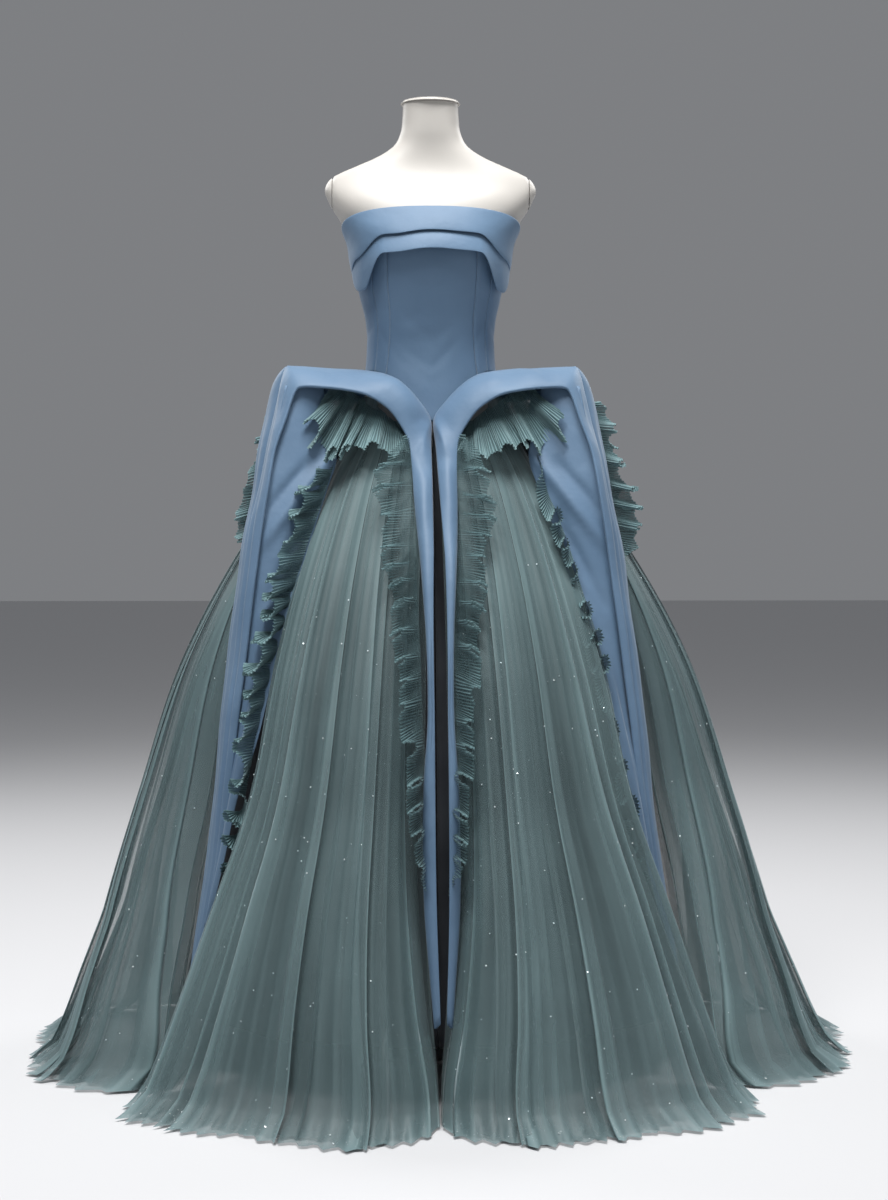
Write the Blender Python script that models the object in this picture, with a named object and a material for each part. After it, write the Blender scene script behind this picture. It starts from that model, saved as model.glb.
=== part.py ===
"""A strapless ball gown on a limbless dress form, modelled in metres with +Z up and the front towards -Y.

The cloth is built as thin walls: a panelled satin bodice with two fold bands, a satin overskirt of six
hoods whose legs meet in long narrow petals, frills round each opening, six masses of tulle and an
underskirt. The form stands on a pole and a round base; the origin is on the floor under the pole.
"""

import math

import bmesh
import bpy
import numpy as np

# ---- driving sizes, in metres ----
SATIN = 0.002
TULLE = 0.0015
GAP = 0.0006
FORM_BOTTOM = 0.960
NECK_TOP = 1.674
NECK_CAP = 0.006
ARM_PLATE_X = 0.1745
BASE_RADIUS = 0.170
BASE_HEIGHT = 0.014
POLE_RADIUS = 0.0125
SOCKET_RADIUS = 0.045
SOCKET_HEIGHT = 0.030
UNDERSKIRT_HEM = 0.090

# ---- colours ----
SATIN_BLUE = (0.125, 0.235, 0.375, 1)
FRILL_TEAL = (0.085, 0.190, 0.205, 1)
TULLE_TEAL = (0.075, 0.150, 0.160, 1)
LINING_GREY = (0.100, 0.125, 0.130, 1)
FORM_WHITE = (0.860, 0.820, 0.760, 1)
STEEL = (0.500, 0.500, 0.520, 1)

# The body under the bodice: height, half width, depth to the front, depth to the back.
BODY = np.array(
    [
        (0.960, 0.150, 0.104, 0.104),
        (1.020, 0.152, 0.106, 0.114),
        (1.090, 0.137, 0.102, 0.106),
        (1.150, 0.119, 0.092, 0.088),
        (1.200, 0.110, 0.084, 0.076),
        (1.245, 0.107, 0.080, 0.070),
        (1.290, 0.109, 0.086, 0.072),
        (1.340, 0.1205, 0.099, 0.078),
        (1.390, 0.129, 0.112, 0.084),
        (1.430, 0.137, 0.110, 0.088),
        (1.465, 0.158, 0.096, 0.090),
        (1.500, 0.180, 0.080, 0.084),
        (1.526, 0.187, 0.062, 0.072),
        (1.546, 0.172, 0.052, 0.062),
        (1.563, 0.135, 0.047, 0.056),
        (1.580, 0.096, 0.045, 0.052),
        (1.598, 0.068, 0.045, 0.050),
        (1.622, 0.054, 0.047, 0.049),
        (1.650, 0.050, 0.047, 0.047),
        (1.674, 0.049, 0.046, 0.046),
    ]
)

# The skirt: height, tulle radius, depth over width, share drawn in at a mass's sides, fold depth, where
# the front mass starts and ends and the side mass starts (degrees from the front), underskirt radius.
SKIRT = np.array(
    [
        (1.170, 0.150, 0.66, 0.06, 0.001, 5.5, 44.0, 74.0, 0.142),
        (1.100, 0.180, 0.68, 0.08, 0.003, 5.5, 44.0, 73.0, 0.158),
        (1.000, 0.250, 0.82, 0.12, 0.005, 5.5, 45.0, 72.0, 0.196),
        (0.870, 0.325, 0.93, 0.15, 0.006, 5.5, 46.0, 71.0, 0.236),
        (0.700, 0.410, 0.98, 0.17, 0.008, 5.5, 46.0, 70.0, 0.290),
        (0.470, 0.500, 1.00, 0.18, 0.010, 5.0, 46.0, 68.0, 0.350),
        (0.310, 0.560, 1.00, 0.18, 0.012, 4.2, 48.0, 64.0, 0.392),
        (0.155, 0.628, 1.00, 0.17, 0.014, 2.8, 51.0, 59.0, 0.428),
        (0.060, 0.675, 1.00, 0.15, 0.016, 0.8, 53.6, 55.2, 0.446),
        (0.001, 0.712, 1.00, 0.14, 0.016, 0.2, 54.4, 54.8, 0.460),
    ]
)
HEIGHT, RADIUS, FLATTEN, DRAWN_IN, FOLD, FRONT_START, FRONT_END, SIDE_START, INNER = range(9)

# One front hood, from its leg at the centre front, over the arch and down to its tip at the side:
# the outer line that joins its neighbour or the waist, and the free edge of the arch.
FRONT_HOOD = np.array(
    [
        (0.0050, -0.530, 0.150, 0.0140, -0.528, 0.142),
        (0.0100, -0.497, 0.330, 0.0280, -0.486, 0.330),
        (0.0110, -0.455, 0.500, 0.0280, -0.447, 0.500),
        (0.0110, -0.420, 0.620, 0.0210, -0.416, 0.615),
        (0.0115, -0.378, 0.740, 0.0220, -0.374, 0.735),
        (0.0100, -0.330, 0.850, 0.0280, -0.325, 0.840),
        (0.0060, -0.240, 0.975, 0.0350, -0.250, 0.955),
        (0.0040, -0.165, 1.060, 0.0370, -0.200, 1.030),
        (0.0025, -0.112, 1.110, 0.0410, -0.180, 1.072),
        (0.0240, -0.107, 1.144, 0.0540, -0.172, 1.100),
        (0.0520, -0.097, 1.172, 0.0770, -0.168, 1.130),
        (0.0790, -0.082, 1.190, 0.1110, -0.166, 1.152),
        (0.1130, -0.060, 1.198, 0.1440, -0.161, 1.161),
        (0.1720, -0.070, 1.201, 0.1840, -0.154, 1.166),
        (0.2390, -0.085, 1.2045, 0.2250, -0.150, 1.167),
        (0.2560, -0.090, 1.198, 0.2390, -0.152, 1.155),
        (0.2690, -0.100, 1.140, 0.2540, -0.166, 1.110),
        (0.2810, -0.119, 1.070, 0.2720, -0.182, 1.056),
        (0.2960, -0.141, 0.985, 0.2840, -0.201, 0.985),
        (0.3160, -0.172, 0.880, 0.2980, -0.218, 0.880),
        (0.3310, -0.203, 0.750, 0.3130, -0.240, 0.750),
        (0.3500, -0.238, 0.580, 0.3320, -0.265, 0.580),
        (0.3700, -0.266, 0.380, 0.3560, -0.286, 0.380),
        (0.4020, -0.286, 0.175, 0.3950, -0.294, 0.168),
    ]
)

# The free edge of one side hood, from its front tip up to the middle of the hip, station by station
# against the last rows of the front hood, whose outer line it is sewn along.
SIDE_EDGE = np.array(
    [
        (0.4100, -0.2740, 0.168),
        (0.3800, -0.2140, 0.380),
        (0.3610, -0.1660, 0.580),
        (0.3430, -0.1290, 0.750),
        (0.3280, -0.1020, 0.880),
        (0.3080, -0.0820, 0.985),
        (0.2990, -0.0700, 1.065),
        (0.2890, -0.0600, 1.120),
        (0.2810, -0.0480, 1.150),
        (0.2750, -0.0360, 1.163),
        (0.2710, -0.0180, 1.168),
        (0.2690, -0.0060, 1.170),
    ]
)

# The broad satin facing inside each outer leg: height, its outer edge, its inner edge.
FACING = np.array(
    [
        (1.045, 0.2660, -0.1740, 0.1650, -0.1500),
        (0.985, 0.2760, -0.1900, 0.1820, -0.1700),
        (0.880, 0.2890, -0.2080, 0.2150, -0.2060),
        (0.750, 0.3030, -0.2310, 0.2540, -0.2480),
        (0.580, 0.3220, -0.2560, 0.2920, -0.2900),
        (0.460, 0.3380, -0.2720, 0.3250, -0.2980),
    ]
)

# Frills, as root and free edge in (across, forward, up), for the front left opening mirrored as needed.
FRILL_TOP = np.array(
    [
        (0.058, -0.142, 1.104, 0.064, -0.206, 1.044),
        (0.092, -0.138, 1.122, 0.096, -0.212, 1.060),
        (0.135, -0.124, 1.134, 0.135, -0.200, 1.066),
        (0.180, -0.100, 1.138, 0.185, -0.176, 1.072),
        (0.208, -0.086, 1.136, 0.222, -0.136, 1.112),
    ]
)
FRILL_OUTER = np.array(
    [
        (0.184, -0.162, 1.046, 0.170, -0.198, 1.040),
        (0.206, -0.190, 0.965, 0.192, -0.226, 0.955),
        (0.234, -0.218, 0.880, 0.220, -0.256, 0.870),
        (0.265, -0.252, 0.760, 0.251, -0.292, 0.750),
        (0.286, -0.276, 0.680, 0.271, -0.314, 0.671),
        (0.302, -0.296, 0.595, 0.294, -0.328, 0.588),
    ]
)
FRILL_INNER = np.array(
    [
        (0.042, -0.208, 0.992, 0.078, -0.262, 0.992),
        (0.040, -0.268, 0.910, 0.078, -0.325, 0.910),
        (0.036, -0.318, 0.820, 0.074, -0.372, 0.820),
        (0.032, -0.372, 0.700, 0.070, -0.428, 0.700),
        (0.032, -0.408, 0.590, 0.064, -0.474, 0.590),
        (0.034, -0.438, 0.470, 0.060, -0.522, 0.470),
    ]
)
FRILL_SIDE = np.array(
    [
        (0.350, -0.080, 0.860, 0.392, -0.070, 0.852),
        (0.316, -0.070, 0.940, 0.366, -0.060, 0.930),
        (0.292, -0.058, 1.020, 0.345, -0.050, 1.010),
        (0.268, -0.044, 1.085, 0.320, -0.040, 1.080),
        (0.246, -0.022, 1.122, 0.300, -0.022, 1.112),
        (0.242, 0.000, 1.130, 0.294, 0.000, 1.118),
    ]
)


# ---- shared ways of making a piece ----
def smooth_rows(table, count):
    """count rows on a Catmull-Rom curve through the table's rows, evenly from one row to the next."""
    padded = np.vstack([2 * table[0] - table[1], table, 2 * table[-1] - table[-2]])
    rows = []
    for s in np.linspace(0, len(table) - 1, count):
        i = min(int(s), len(table) - 2)
        t = s - i
        p0, p1, p2, p3 = padded[i : i + 4]
        rows.append(
            0.5
            * (
                2 * p1
                + (p2 - p0) * t
                + (2 * p0 - 5 * p1 + 4 * p2 - p3) * t**2
                + (3 * p1 - p0 - 3 * p2 + p3) * t**3
            )
        )
    return np.array(rows)


def column(table, number, heights):
    """One column of a table of heights, read at other heights."""
    order = np.argsort(table[:, 0])
    return np.interp(heights, table[order, 0], table[order, number])


def material(name, colour, roughness, metallic=0.0):
    made = bpy.data.materials.new(name)
    made.use_nodes = True
    shader = made.node_tree.nodes["Principled BSDF"]
    shader.inputs["Base Color"].default_value = colour
    shader.inputs["Roughness"].default_value = roughness
    shader.inputs["Metallic"].default_value = metallic
    return made


def add_object(name, points, faces, colour, roughness, metallic=0.0):
    mesh = bpy.data.meshes.new(name)
    mesh.from_pydata([tuple(map(float, p)) for p in points], [], faces)
    mesh.update()
    mesh.shade_smooth()
    made = bpy.data.objects.new(name, mesh)
    bpy.context.scene.collection.objects.link(made)
    mesh.materials.append(material(name + "_finish", colour, roughness, metallic))
    return made


def grid_faces(rows, columns):
    return [
        (r * columns + c, r * columns + c + 1, (r + 1) * columns + c + 1, (r + 1) * columns + c)
        for r in range(rows - 1)
        for c in range(columns - 1)
    ]


def cloth(name, grid, thickness, colour, roughness):
    """A wall of cloth on a grid of points, half its thickness to each side."""
    rows, columns, _ = grid.shape
    made = add_object(name, grid.reshape(-1, 3), grid_faces(rows, columns), colour, roughness)
    wall = made.modifiers.new("wall", "SOLIDIFY")
    wall.thickness = thickness
    wall.offset = 0
    return made


def mirrored(grid, side, end):
    """The grid for the left (side -1) or right (1), at the front (end 1) or the back (-1)."""
    return grid * np.array([side, end, 1.0])


def band(rows, across, bulge):
    """A strip between the two lines that rows holds, its middle pushed along its own normal."""
    t = np.linspace(0, 1, across)[None, :, None]
    flat = rows[:, None, :3] * (1 - t) + rows[:, None, 3:] * t
    ahead = np.gradient(flat, axis=0)
    sideways = np.gradient(flat, axis=1)
    normal = np.cross(ahead, sideways)
    normal /= np.linalg.norm(normal, axis=2, keepdims=True) + 1e-12
    return flat + normal * bulge * np.sin(math.pi * t)


def quadrants():
    for side, hand in ((-1, "left"), (1, "right")):
        for end, where in ((1, "front"), (-1, "back")):
            yield side, hand, end, where


# ---- the dress form and its stand ----
SQUARENESS = 0.86
FORM_SIDES = 28
TURNED_STEPS = 32
STAND_EDGE = 0.004
CAP_EDGE = 0.002


def rounded(wave):
    """A sine or cosine raised to a power under one, which squares an oval section a little."""
    return np.sign(wave) * np.abs(wave) ** SQUARENESS


def loft(name, table, sides, colour, roughness):
    """A closed body through oval sections with flat ends."""
    turn = np.linspace(0, 2 * math.pi, sides, endpoint=False)
    points = []
    for height, half_width, front, back in table:
        depth = np.where(np.cos(turn) > 0, front, back)
        across = half_width * rounded(np.sin(turn))
        ahead = -depth * rounded(np.cos(turn))
        points.extend(np.stack([across, ahead, turn * 0 + height], 1))
    faces = []
    for r in range(len(table) - 1):
        for c in range(sides):
            d = (c + 1) % sides
            faces.append((r * sides + c, r * sides + d, (r + 1) * sides + d, (r + 1) * sides + c))
    faces.append(tuple(reversed(range(sides))))
    faces.append(tuple(range((len(table) - 1) * sides, len(table) * sides)))
    return add_object(name, points, faces, colour, roughness)


def cutter(name, low, high):
    """A hidden box that trims another piece."""
    mesh = bpy.data.meshes.new(name)
    shape = bmesh.new()
    bmesh.ops.create_cube(shape, size=1)
    middle = (np.array(low) + np.array(high)) / 2
    size = np.array(high) - np.array(low)
    for vertex in shape.verts:
        vertex.co = [m + v * s for m, v, s in zip(middle, vertex.co, size)]
    shape.to_mesh(mesh)
    shape.free()
    made = bpy.data.objects.new(name, mesh)
    made.hide_render = True
    made.display_type = "WIRE"
    bpy.context.scene.collection.objects.link(made)
    return made


def trim(piece, tool, operation):
    cut = piece.modifiers.new(tool.name, "BOOLEAN")
    cut.object = tool
    cut.operation = operation


def make_form():
    """Torso and neck as one moulded shell filled solid, cut flat at the arms where two plates cap it."""
    torso = loft("form_torso", BODY, FORM_SIDES, FORM_WHITE, 0.45)
    trim(torso, cutter("torso_width", (-ARM_PLATE_X, -1, 0), (ARM_PLATE_X, 1, 2)), "INTERSECT")
    for side, hand in ((-1, "left"), (1, "right")):
        plate = loft(f"form_arm_plate_{hand}", BODY, FORM_SIDES, FORM_WHITE, 0.45)
        inner = side * (ARM_PLATE_X + GAP)
        outer = side * 1.0
        low, high = min(inner, outer), max(inner, outer)
        trim(plate, cutter(f"arm_cut_{hand}", (low, -1, 0), (high, 1, 2)), "INTERSECT")


def turned(name, profile, colour, roughness, metallic):
    """A round piece turned about the Z axis from (radius, height) pairs, top to bottom on its outside."""
    mesh = bpy.data.meshes.new(name)
    shape = bmesh.new()
    points = [shape.verts.new((radius, 0, height)) for radius, height in profile]
    edges = [shape.edges.new(pair) for pair in zip(points, points[1:])]
    bmesh.ops.spin(
        shape,
        geom=points + edges,
        axis=(0, 0, 1),
        cent=(0, 0, 0),
        angle=2 * math.pi,
        steps=TURNED_STEPS,
    )
    bmesh.ops.remove_doubles(shape, verts=shape.verts, dist=1e-6)
    bmesh.ops.recalc_face_normals(shape, faces=shape.faces)
    shape.to_mesh(mesh)
    shape.free()
    mesh.shade_smooth()
    mesh.set_sharp_from_angle(angle=math.radians(35))
    made = bpy.data.objects.new(name, mesh)
    bpy.context.scene.collection.objects.link(made)
    mesh.materials.append(material(name + "_finish", colour, roughness, metallic))
    return made


def make_stand():
    """A round weighted base, a pole and the socket under the torso, with a cap on the neck."""
    turned(
        "stand_base",
        [
            (0, BASE_HEIGHT),
            (BASE_RADIUS - STAND_EDGE, BASE_HEIGHT - STAND_EDGE),
            (BASE_RADIUS, BASE_HEIGHT - 2 * STAND_EDGE),
            (BASE_RADIUS, 0),
            (0, 0),
        ],
        STEEL,
        0.35,
        0.9,
    )
    socket_low = FORM_BOTTOM - GAP - SOCKET_HEIGHT
    turned(
        "stand_pole",
        [
            (0, socket_low - GAP),
            (POLE_RADIUS, socket_low - GAP),
            (POLE_RADIUS, BASE_HEIGHT + GAP),
            (0, BASE_HEIGHT + GAP),
        ],
        STEEL,
        0.25,
        0.9,
    )
    turned(
        "stand_socket",
        [
            (0, FORM_BOTTOM - GAP),
            (SOCKET_RADIUS, FORM_BOTTOM - GAP),
            (SOCKET_RADIUS, FORM_BOTTOM - GAP - STAND_EDGE),
            (POLE_RADIUS * 1.6, socket_low),
            (0, socket_low),
        ],
        STEEL,
        0.3,
        0.9,
    )
    cap_radius = float(BODY[-1, 1]) + CAP_EDGE / 2
    cap_low = NECK_TOP + GAP
    cap_high = cap_low + NECK_CAP
    turned(
        "form_neck_cap",
        [
            (0, cap_high),
            (cap_radius - CAP_EDGE, cap_high),
            (cap_radius, cap_high - CAP_EDGE),
            (cap_radius, cap_low),
            (0, cap_low),
        ],
        FORM_WHITE,
        0.4,
        0.0,
    )


# ---- the bodice ----
BODICE_EASE = 0.0068
NECKLINE_SIDE = 1.440
NECKLINE_RISE = 0.042
NECKLINE_BACK_DROP = 0.020
WAIST_POINT = 1.124
WAIST_RISE = 0.096
WAIST_POINT_REACH = math.radians(62)
PANEL_SEAM = math.radians(0.16)


def body_surface(turn, heights, out):
    """Points on the body at an angle from the front, moved out from it."""
    half_width = column(BODY, 1, heights) + out
    front = column(BODY, 2, heights) + out
    back = column(BODY, 3, heights) + out
    depth = np.where(np.cos(turn) >= 0, front, back)
    return np.stack([half_width * rounded(np.sin(turn)), -depth * rounded(np.cos(turn)), heights], -1)


def neckline(turn):
    """Height of the bodice's top edge: highest at the centre front, level across the back."""
    front = NECKLINE_SIDE + NECKLINE_RISE * np.cos(np.clip(np.abs(turn), 0, math.pi / 2)) ** 0.8
    past_side = np.clip((np.abs(turn) - math.pi / 2) / (math.pi / 2), 0, 1)
    back = NECKLINE_SIDE - NECKLINE_BACK_DROP * past_side
    return np.where(np.abs(turn) < math.pi / 2, front, back)


def waistline(turn):
    """Height of the bodice's lower edge: a point at the centre front and centre back, high at the sides."""
    from_point = math.pi / 2 - np.abs(np.abs(turn) - math.pi / 2)
    away = np.clip(from_point / WAIST_POINT_REACH, 0, 1)
    return WAIST_POINT + WAIST_RISE * np.sin(away * math.pi / 2) ** 0.85


# Each panel: name, start and end at the neckline, start and end at the waist, in degrees from the front.
PANELS = (
    ("bodice_centre_front", -29, 29, -41, 41),
    ("bodice_front_left", -47, -29, -58, -41),
    ("bodice_front_right", 29, 47, 41, 58),
    ("bodice_side_left", -104, -47, -100, -58),
    ("bodice_side_right", 47, 104, 58, 100),
    ("bodice_back_left", -179.8, -104, -179.8, -100),
    ("bodice_back_right", 104, 179.8, 100, 179.8),
)
PANEL_ROWS = 7
PANEL_COLUMNS = 4


def make_bodice():
    """Seven shaped panels that meet at princess seams, two side seams and a centre back seam."""
    for name, top_from, top_to, low_from, low_to in PANELS:
        up = np.linspace(0, 1, PANEL_ROWS)[:, None]
        across = np.linspace(0, 1, PANEL_COLUMNS)[None, :]
        start = np.radians(low_from + (top_from - low_from) * up) + PANEL_SEAM
        stop = np.radians(low_to + (top_to - low_to) * up) - PANEL_SEAM
        turn = start + (stop - start) * across
        low = waistline(turn)
        heights = low + (neckline(turn) - low) * up
        cloth(name, body_surface(turn, heights, BODICE_EASE), SATIN, SATIN_BLUE, 0.4)


# Each band: name, how far round it goes each way in degrees, how far out its top and its loose edge
# stand, how far under the neckline its top and its loose edge lie at the middle, how much lower the
# loose edge is past its corners, where a corner starts and how wide it is in degrees, and its columns.
BANDS = (
    ("band_upper", 179.6, 0.0138, 0.0195, 0.000, 0.047, 0.026, 27, 33, 41),
    ("band_lower", 84.0, 0.0106, 0.0270, 0.034, 0.080, 0.050, 29, 24, 25),
)


def make_bands():
    """Two folded bands across the bust: the upper goes on round the back, the lower ends at the sides."""
    rows = 3
    for name, half_turn, top_out, edge_out, top_drop, middle_drop, corner_drop, start, width, columns in BANDS:
        turn = np.radians(np.linspace(-half_turn, half_turn, columns))[None, :]
        down = np.linspace(0, 1, rows)[:, None]
        past = np.clip((np.abs(turn) - math.radians(start)) / math.radians(width), 0, 1)
        to_the_front = np.where(np.abs(turn) < math.pi / 2, 1, np.abs(np.sin(turn)))
        corner = past**2 * (3 - 2 * past) * to_the_front
        top = neckline(turn) - top_drop
        heights = top + (top_drop - middle_drop - corner_drop * corner) * down
        facing_front = np.clip(np.cos(turn), 0, 1) ** 0.5
        out = top_out + (edge_out - top_out) * down * facing_front
        cloth(name, body_surface(turn, heights, out), SATIN, SATIN_BLUE, 0.4)


# ---- the satin overskirt ----
HOOD_ROWS = 2 * len(FRONT_HOOD) - 1
SIDE_EDGE_ROWS = 2 * len(SIDE_EDGE) - 1
HOOD_COLUMNS = 3
STRIP_COLUMNS = 3
HOOD_BULGE = 0.010
HOOD_SEAM = 0.0026
FACING_HOLLOW = 0.006


def make_hoods():
    """Six inverted U panels: four at the quarters and one over each hip, with curved cross-sections."""
    front_rows = smooth_rows(FRONT_HOOD, HOOD_ROWS)
    for side, hand, end, where in quadrants():
        grid = band(front_rows, HOOD_COLUMNS, -HOOD_BULGE)
        cloth(f"hood_{where}_{hand}", mirrored(grid, side, end), SATIN, SATIN_BLUE, 0.4)
    edge = smooth_rows(SIDE_EDGE, SIDE_EDGE_ROWS)
    joined = front_rows[: -SIDE_EDGE_ROWS - 1 : -1, :3]
    across = edge - joined
    joined = joined + across / np.linalg.norm(across, axis=1, keepdims=True) * HOOD_SEAM
    half = np.hstack([joined, edge])
    flip = np.array([1, -1, 1, 1, -1, 1])
    whole = np.vstack([half, half[::-1] * flip])
    for side, hand in ((-1, "left"), (1, "right")):
        grid = band(whole, HOOD_COLUMNS, HOOD_BULGE / 2)
        cloth(f"hood_side_{hand}", mirrored(grid, side, 1), SATIN, SATIN_BLUE, 0.4)


def make_facings():
    """The broad satin facing that shows inside each outer leg, hollowed a little between its edges."""
    rows = FACING[:, [1, 2, 0, 3, 4, 0]]
    for side, hand, end, where in quadrants():
        grid = band(rows, STRIP_COLUMNS, FACING_HOLLOW)
        cloth(f"facing_{where}_{hand}", mirrored(grid, side, end), SATIN, SATIN_BLUE, 0.4)


# ---- the frills ----
FRILL_WAVE = 0.007
HIP_ROWS = 17
HIP_WAVES = 4.0


def frill_grid(table, rows, waves):
    """A strip whose free edge waves in and out along the depth of the opening."""
    line = smooth_rows(table, rows)
    s = np.linspace(0, 1, rows)[:, None, None]
    t = np.linspace(0, 1, STRIP_COLUMNS)[None, :, None]
    flat = line[:, None, :3] * (1 - t) + line[:, None, 3:] * t
    swing = np.sin(2 * math.pi * waves * s) * t * FRILL_WAVE
    radial = flat * np.array([1.0, 1.0, 0.0])
    radial /= np.linalg.norm(radial, axis=2, keepdims=True)
    return flat + radial * (swing + FRILL_WAVE * t)


def make_frills():
    """Gathered strips round every opening: over the arch, down its outer leg and by the centre leg."""
    for side, hand, end, where in quadrants():
        for name, table, rows, waves in (
            ("top", FRILL_TOP, 11, 2.5),
            ("outer", FRILL_OUTER, 13, 3.0),
            ("inner", FRILL_INNER, 11, 2.5),
        ):
            grid = mirrored(frill_grid(table, rows, waves), side, end)
            cloth(f"frill_{name}_{where}_{hand}", grid, TULLE, FRILL_TEAL, 0.8)
    flip = np.array([1, -1, 1, 1, -1, 1])
    whole = np.vstack([FRILL_SIDE, FRILL_SIDE[-2::-1] * flip])
    for side, hand in ((-1, "left"), (1, "right")):
        grid = mirrored(frill_grid(whole, HIP_ROWS, HIP_WAVES), side, 1)
        cloth(f"frill_hip_{hand}", grid, TULLE, FRILL_TEAL, 0.8)


# ---- the tulle skirt and the underskirt ----
TULLE_HEIGHTS = np.array([1.115, 1.000, 0.850, 0.560, 0.230, 0.060, 0.001])
UNDERSKIRT_HEIGHTS = np.array([1.110, 0.980, 0.820, 0.480, UNDERSKIRT_HEM])
TULLE_COLUMNS = 15
GORE_COLUMNS = 5
FRONT_FOLDS = 4
SIDE_FOLDS = 4
SIDE_FULLNESS = 0.030
FULL_TO = 1.100


def tulle_grid(heights, from_turn, to_turn, folds, fullness):
    """One mass of tulle: round in the middle, drawn in at its sides, with folds deepening to the hem."""
    z = heights[:, None]
    t = np.linspace(0, 1, TULLE_COLUMNS)[None, :]
    turn = np.radians(from_turn[:, None] + (to_turn - from_turn)[:, None] * t)
    radius = column(SKIRT, RADIUS, z) * (1 - column(SKIRT, DRAWN_IN, z) * np.abs(2 * t - 1) ** 6)
    radius = radius + fullness * np.sin(math.pi * np.clip(z / FULL_TO, 0, 1)) * np.sin(math.pi * t)
    radius = radius + column(SKIRT, FOLD, z) * np.cos(2 * math.pi * folds * t) * np.sin(math.pi * t)
    flatten = column(SKIRT, FLATTEN, z)
    return np.stack([radius * np.sin(turn), -radius * np.cos(turn) * flatten, z + 0 * t], -1)


def make_tulle():
    """Six masses of tulle: one out of each opening, from the waist to the floor."""
    front_end = column(SKIRT, FRONT_END, TULLE_HEIGHTS)
    side_start = column(SKIRT, SIDE_START, TULLE_HEIGHTS)
    front_start = column(SKIRT, FRONT_START, TULLE_HEIGHTS)
    for side, hand, end, where in quadrants():
        grid = tulle_grid(TULLE_HEIGHTS, front_start, front_end, FRONT_FOLDS, 0)
        cloth(f"tulle_{where}_{hand}", mirrored(grid, side, end), TULLE, TULLE_TEAL, 0.7)
    for side, hand in ((-1, "left"), (1, "right")):
        grid = tulle_grid(TULLE_HEIGHTS, side_start, 180 - side_start, SIDE_FOLDS, SIDE_FULLNESS)
        cloth(f"tulle_side_{hand}", mirrored(grid, side, 1), TULLE, TULLE_TEAL, 0.7)


def make_underskirt():
    """An opaque underskirt cut in four gores, ending above the floor."""
    z = UNDERSKIRT_HEIGHTS[:, None]
    t = np.linspace(0, 1, GORE_COLUMNS)[None, :]
    radius = column(SKIRT, INNER, z)
    flatten = column(SKIRT, FLATTEN, z)
    seam = GAP / (radius * flatten)
    for side, hand, end, where in quadrants():
        turn = seam + (math.pi / 2 - 2 * seam) * t
        grid = np.stack([radius * np.sin(turn), -radius * np.cos(turn) * flatten, z + 0 * t], -1)
        cloth(f"underskirt_{where}_{hand}", mirrored(grid, side, end), TULLE, LINING_GREY, 0.7)


for old in list(bpy.data.objects):
    bpy.data.objects.remove(old, do_unlink=True)
make_form()
make_stand()
make_bodice()
make_bands()
make_hoods()
make_facings()
make_frills()
make_tulle()
make_underskirt()
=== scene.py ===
"""A strapless satin ball gown with a hooded overskirt, frills and a tulle skirt, on a dress form."""

import math

import bpy
import numpy as np
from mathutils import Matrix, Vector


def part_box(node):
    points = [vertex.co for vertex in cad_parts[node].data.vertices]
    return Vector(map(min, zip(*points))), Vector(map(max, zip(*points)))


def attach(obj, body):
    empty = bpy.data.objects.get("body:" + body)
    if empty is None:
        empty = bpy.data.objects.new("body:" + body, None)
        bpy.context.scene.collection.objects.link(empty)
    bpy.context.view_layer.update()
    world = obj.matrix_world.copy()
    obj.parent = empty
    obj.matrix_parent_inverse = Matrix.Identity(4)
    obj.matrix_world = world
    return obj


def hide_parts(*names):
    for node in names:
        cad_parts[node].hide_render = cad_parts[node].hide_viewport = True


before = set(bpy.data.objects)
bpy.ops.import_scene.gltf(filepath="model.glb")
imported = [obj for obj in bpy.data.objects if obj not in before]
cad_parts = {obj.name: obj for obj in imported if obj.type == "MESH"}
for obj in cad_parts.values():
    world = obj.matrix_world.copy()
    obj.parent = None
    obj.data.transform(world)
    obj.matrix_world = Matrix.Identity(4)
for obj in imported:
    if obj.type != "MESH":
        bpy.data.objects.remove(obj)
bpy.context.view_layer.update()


# ---- the room ----
# A plain pale floor and soft lamps all round, with a camera four metres in front at hip height.
FLOOR_HALF = 30.0
FLOOR_DROP = 0.0015
CAMERA_PLACE = (-0.11, -3.9985, 0.9)
CAMERA_LENS = 67.2
CAMERA_DOWN = math.radians(1.50)
CAMERA_TURN = math.radians(-1.92)


def in_scene(name, data):
    """An object made of its data, put in the scene."""
    made = bpy.data.objects.new(name, data)
    bpy.context.scene.collection.objects.link(made)
    return made


def new_finish(name, colour, roughness, **settings):
    """A material with one Principled shader, its plain numbers set on the shader's own sockets."""
    made = bpy.data.materials.new(name)
    made.use_nodes = True
    shader = made.node_tree.nodes["Principled BSDF"]
    shader.inputs["Base Color"].default_value = (*colour, 1)
    shader.inputs["Roughness"].default_value = roughness
    for socket, value in settings.items():
        shader.inputs[socket.replace("_", " ")].default_value = value
    return made, made.node_tree, shader


floor_mesh = bpy.data.meshes.new("floor")
corners = np.array([(-1, -1, 0), (1, -1, 0), (1, 1, 0), (-1, 1, 0)]) * FLOOR_HALF - (0, 0, FLOOR_DROP)
floor_mesh.from_pydata(corners.tolist(), [], [(0, 1, 2, 3)])
floor = in_scene("floor", floor_mesh)
floor_paint = new_finish("floor_paint", (0.66, 0.66, 0.67), 0.8)[0]
floor_mesh.materials.append(floor_paint)

world = bpy.data.worlds.new("studio")
world.use_nodes = True
sky = world.node_tree.nodes["Background"].inputs
sky["Color"].default_value = (0.80, 0.82, 0.86, 1)
sky["Strength"].default_value = 0.26
bpy.context.scene.world = world
bpy.context.scene.view_settings.view_transform = "Standard"

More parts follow.
